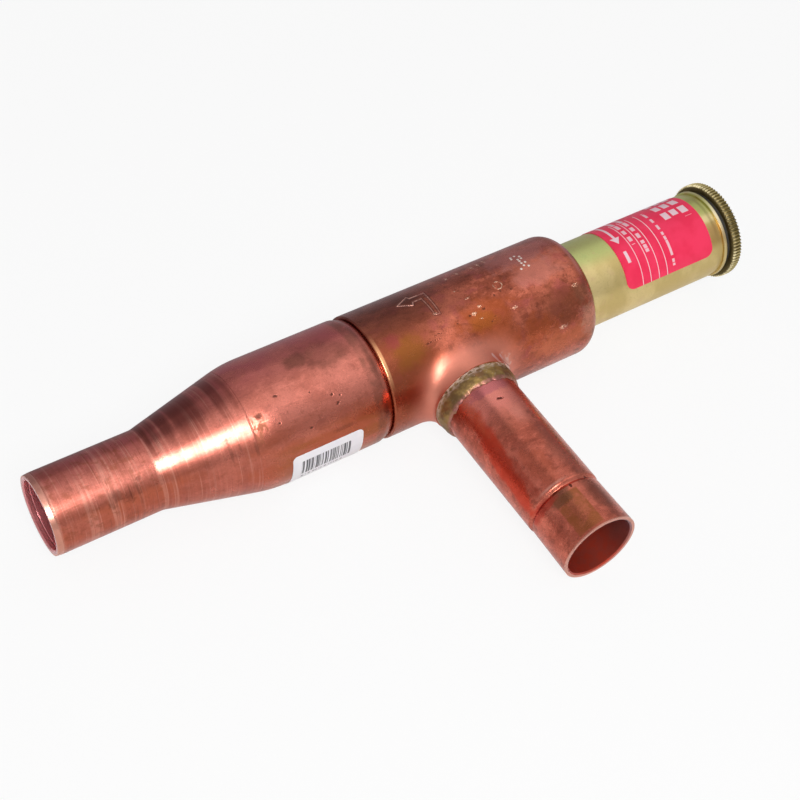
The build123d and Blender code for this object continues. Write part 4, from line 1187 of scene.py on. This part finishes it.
# Painted glint and shade: the raised parts of each mark are near white, and its sunken edge is dark.
tone = bright.blend(height_over.rise(-0.02, 0.015), (0.24, 0.07, 0.05), (1.0, 0.84, 0.74))
bright.set(Base_Color=tone, Metallic=1.0, Roughness=0.30 + 0.1 * bright.noise(0.5))
punch = Grower("punch_marks", {
    "Columns": ("Int", 3), "Rows": ("Int", 7), "Width": ("Float", 0.0021), "Length": ("Float", 0.0048),
    "Share kept": ("Float", 0.72), "Radius": ("Float", body_radius), "Middle X": ("Float", 0.1227),
    "Middle angle": ("Float", math.radians(82.0)), "Mark": ("Object", mark),
    "Finish": ("Material", bright.material)})
grid = punch.node("GeometryNodeMeshGrid", {}, {
    "Size X": punch.given("Width"), "Size Y": punch.given("Length"),
    "Vertices X": punch.given("Columns"), "Vertices Y": punch.given("Rows")}, "Mesh")
flat_x, flat_y = punch.split(punch.node("GeometryNodeInputPosition"))
shake_x, shake_y = punch.split(punch.node("FunctionNodeRandomValue", {"data_type": "FLOAT_VECTOR"}, {
    0: (-MARK_SHAKE, -MARK_SHAKE, 0.0), 1: (MARK_SHAKE, MARK_SHAKE, 0.0), "Seed": 4}))
angle_at = (flat_y + shake_y) / punch.given("Radius") + punch.given("Middle angle")
cosine, sine = angle_at.maths("COSINE", angle_at), angle_at.maths("SINE", angle_at)
at_x = flat_x + shake_x + punch.given("Middle X")
on_tube = punch.node("ShaderNodeCombineXYZ", {}, {
    0: at_x, 1: cosine * punch.given("Radius"), 2: sine * punch.given("Radius")})
outwards = punch.node("ShaderNodeCombineXYZ", {}, {1: cosine, 2: sine})
vector_points = {"data_type": "FLOAT_VECTOR", "domain": "POINT"}
stored = punch.node("GeometryNodeStoreNamedAttribute", vector_points, {
    "Geometry": grid, "Name": "outwards", "Value": outwards})
moved = punch.node("GeometryNodeSetPosition", {}, {"Geometry": stored, "Position": on_tube})
facing = punch.node("GeometryNodeInputNamedAttribute", {"data_type": "FLOAT_VECTOR"}, {"Name": "outwards"})
chance = punch.node("FunctionNodeRandomValue", {"data_type": "FLOAT"}, {2: 0.0, 3: 1.0, "Seed": 11}, 1)
marks = punch.grow(
    "punch_marks", moved, "Mark", "valve_body", "copper",
    Selection=chance.maths("LESS_THAN", chance, punch.given("Share kept")),
    Rotation=punch.node("FunctionNodeAlignRotationToVector", {"axis": "Z"}, {"Vector": facing}))
bpy.data.objects.remove(mark)
print("punch marks faces", len(marks.data.polygons))

# %% [markdown]
# The rest is inside and only shows when the cap is off or from the open ends. Each metal still gets
# a finish of its own: turned brass with tool rings, blued spring wire, tin bronze and plain steel.


# %% Inner finishes
def turned_metal(name, light, dark, roughness, pitch=0.5, metallic=1.0):
    """Lathe-turned metal with tool rings along the main line and a little tarnish."""
    made = TubeFinish(name)
    tarnish = made.noise(3.0, 4.0, seed=2.0)
    tone = made.blend(tarnish.rise(0.38, 0.64), light, dark)
    height = made.rings(pitch, 1.0, 2.0) * 0.6 + tarnish * 0.3
    made.coat(tone, metallic, roughness + 0.12 * tarnish, height, 0.00006, 0.8)
    return made.material


brass = turned_metal("turned_brass", (0.78, 0.58, 0.27), (0.58, 0.40, 0.16), 0.26)
bronze = turned_metal("turned_bronze", (0.62, 0.38, 0.19), (0.45, 0.25, 0.12), 0.30)
steel = turned_metal("turned_steel", (0.56, 0.56, 0.57), (0.42, 0.42, 0.43), 0.28)
spring_wire = turned_metal("spring_wire", (0.20, 0.21, 0.24), (0.11, 0.11, 0.13), 0.34, 0.8)
tin_bronze = turned_metal("bellows_bronze", (0.72, 0.52, 0.30), (0.60, 0.40, 0.22), 0.30, 0.4)
seal_plastic = turned_metal("seal_plastic", (0.84, 0.84, 0.81), (0.76, 0.76, 0.72), 0.42, 0.6, 0.0)
gasket = turned_metal("gasket_rubber", (0.030, 0.028, 0.026), (0.05, 0.045, 0.04), 0.60, 0.5, 0.0)
screw = TubeFinish("screw_brass")
thread = abs((screw.x - screw.angle / 360.0).fraction() - 0.5) * 2.0 * screw.radius.rise(8.2, 8.4)
film = screw.noise(2.5, 4.0, seed=5.0)
tone = screw.blend(film.rise(0.36, 0.64), (0.72, 0.54, 0.25), (0.52, 0.36, 0.15))
normal = screw.bump(thread, 0.0004, 1.0, screw.bump(film, 0.00004, 0.7))
screw.set(Base_Color=tone, Metallic=1.0, Roughness=0.28 + 0.1 * film, Normal=normal)
inner_finishes = {
    "cap_gasket": gasket, "setting_screw": screw.material, "upper_spring_seat": steel,
    "main_spring": spring_wire, "lower_spring_plate": steel, "retaining_clip": spring_wire,
    "stem_guide": bronze, "valve_stem": steel, "bellows": tin_bronze, "bellows_fixed_ring": brass,
    "bellows_moving_ring": brass, "seat_ring": brass, "valve_plate": brass, "plate_seal": seal_plastic,
    "plate_nut": brass, "damper_cage": brass, "damper_piston": brass, "piston_ring": seal_plastic,
}
for name, material in inner_finishes.items():
    dress(name, material)
print("inner finishes", len(inner_finishes))

# %% [markdown]
# Two inner parts change their length when the valve works. The bellows shorten towards their fixed ring as
# the plate lifts; a copy of their mesh stands for them on the valve body, and the share of their length that
# the lift leaves is worked out. The main spring sits between two moving seats, so it is cut in the middle
# into a lower and an upper half, each closed where it is cut.

# %% Spring and bellows
joints = {joint["name"]: joint for joint in frame["record"]["behaviour"]["joints"]}
lift = joints["valve_lift"]["range_m"][1]


def node_copy(node, name):
    """A new piece with a copy of a node's mesh, which stands for the node."""
    made = bpy.data.objects.new(name, nodes[node].data.copy())
    bpy.context.scene.collection.objects.link(made)
    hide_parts(node)
    return made


bellows_low, bellows_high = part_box("bellows")
soft_bellows = node_copy("bellows", "soft_bellows")
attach(soft_bellows, "valve_body")
keep = 1.0 - lift / (bellows_high.x - bellows_low.x)
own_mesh(soft_bellows)
spring_low, spring_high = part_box("main_spring")
middle = (spring_low.x + spring_high.x) / 2


def spring_half(name, lower):
    """One half of the main spring, closed where it is cut."""
    made = node_copy("main_spring", name)
    work = bmesh.new()
    work.from_mesh(made.data)
    whole = work.verts[:] + work.edges[:] + work.faces[:]
    cut = bmesh.ops.bisect_plane(
        work, geom=whole, plane_co=(middle, 0, 0), plane_no=(1, 0, 0),
        clear_outer=lower, clear_inner=not lower)
    rims = [part for part in cut["geom_cut"] if isinstance(part, bmesh.types.BMEdge)]
    bmesh.ops.holes_fill(work, edges=rims, sides=0)
    work.to_mesh(made.data)
    work.free()
    return made


spring_bottom = spring_half("spring_lower_half", True)
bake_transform(spring_bottom)
spring_top = spring_half("spring_upper_half", False)
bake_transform(spring_top)
print("bellows keep", round(keep, 3), "spring middle", round(middle, 4))
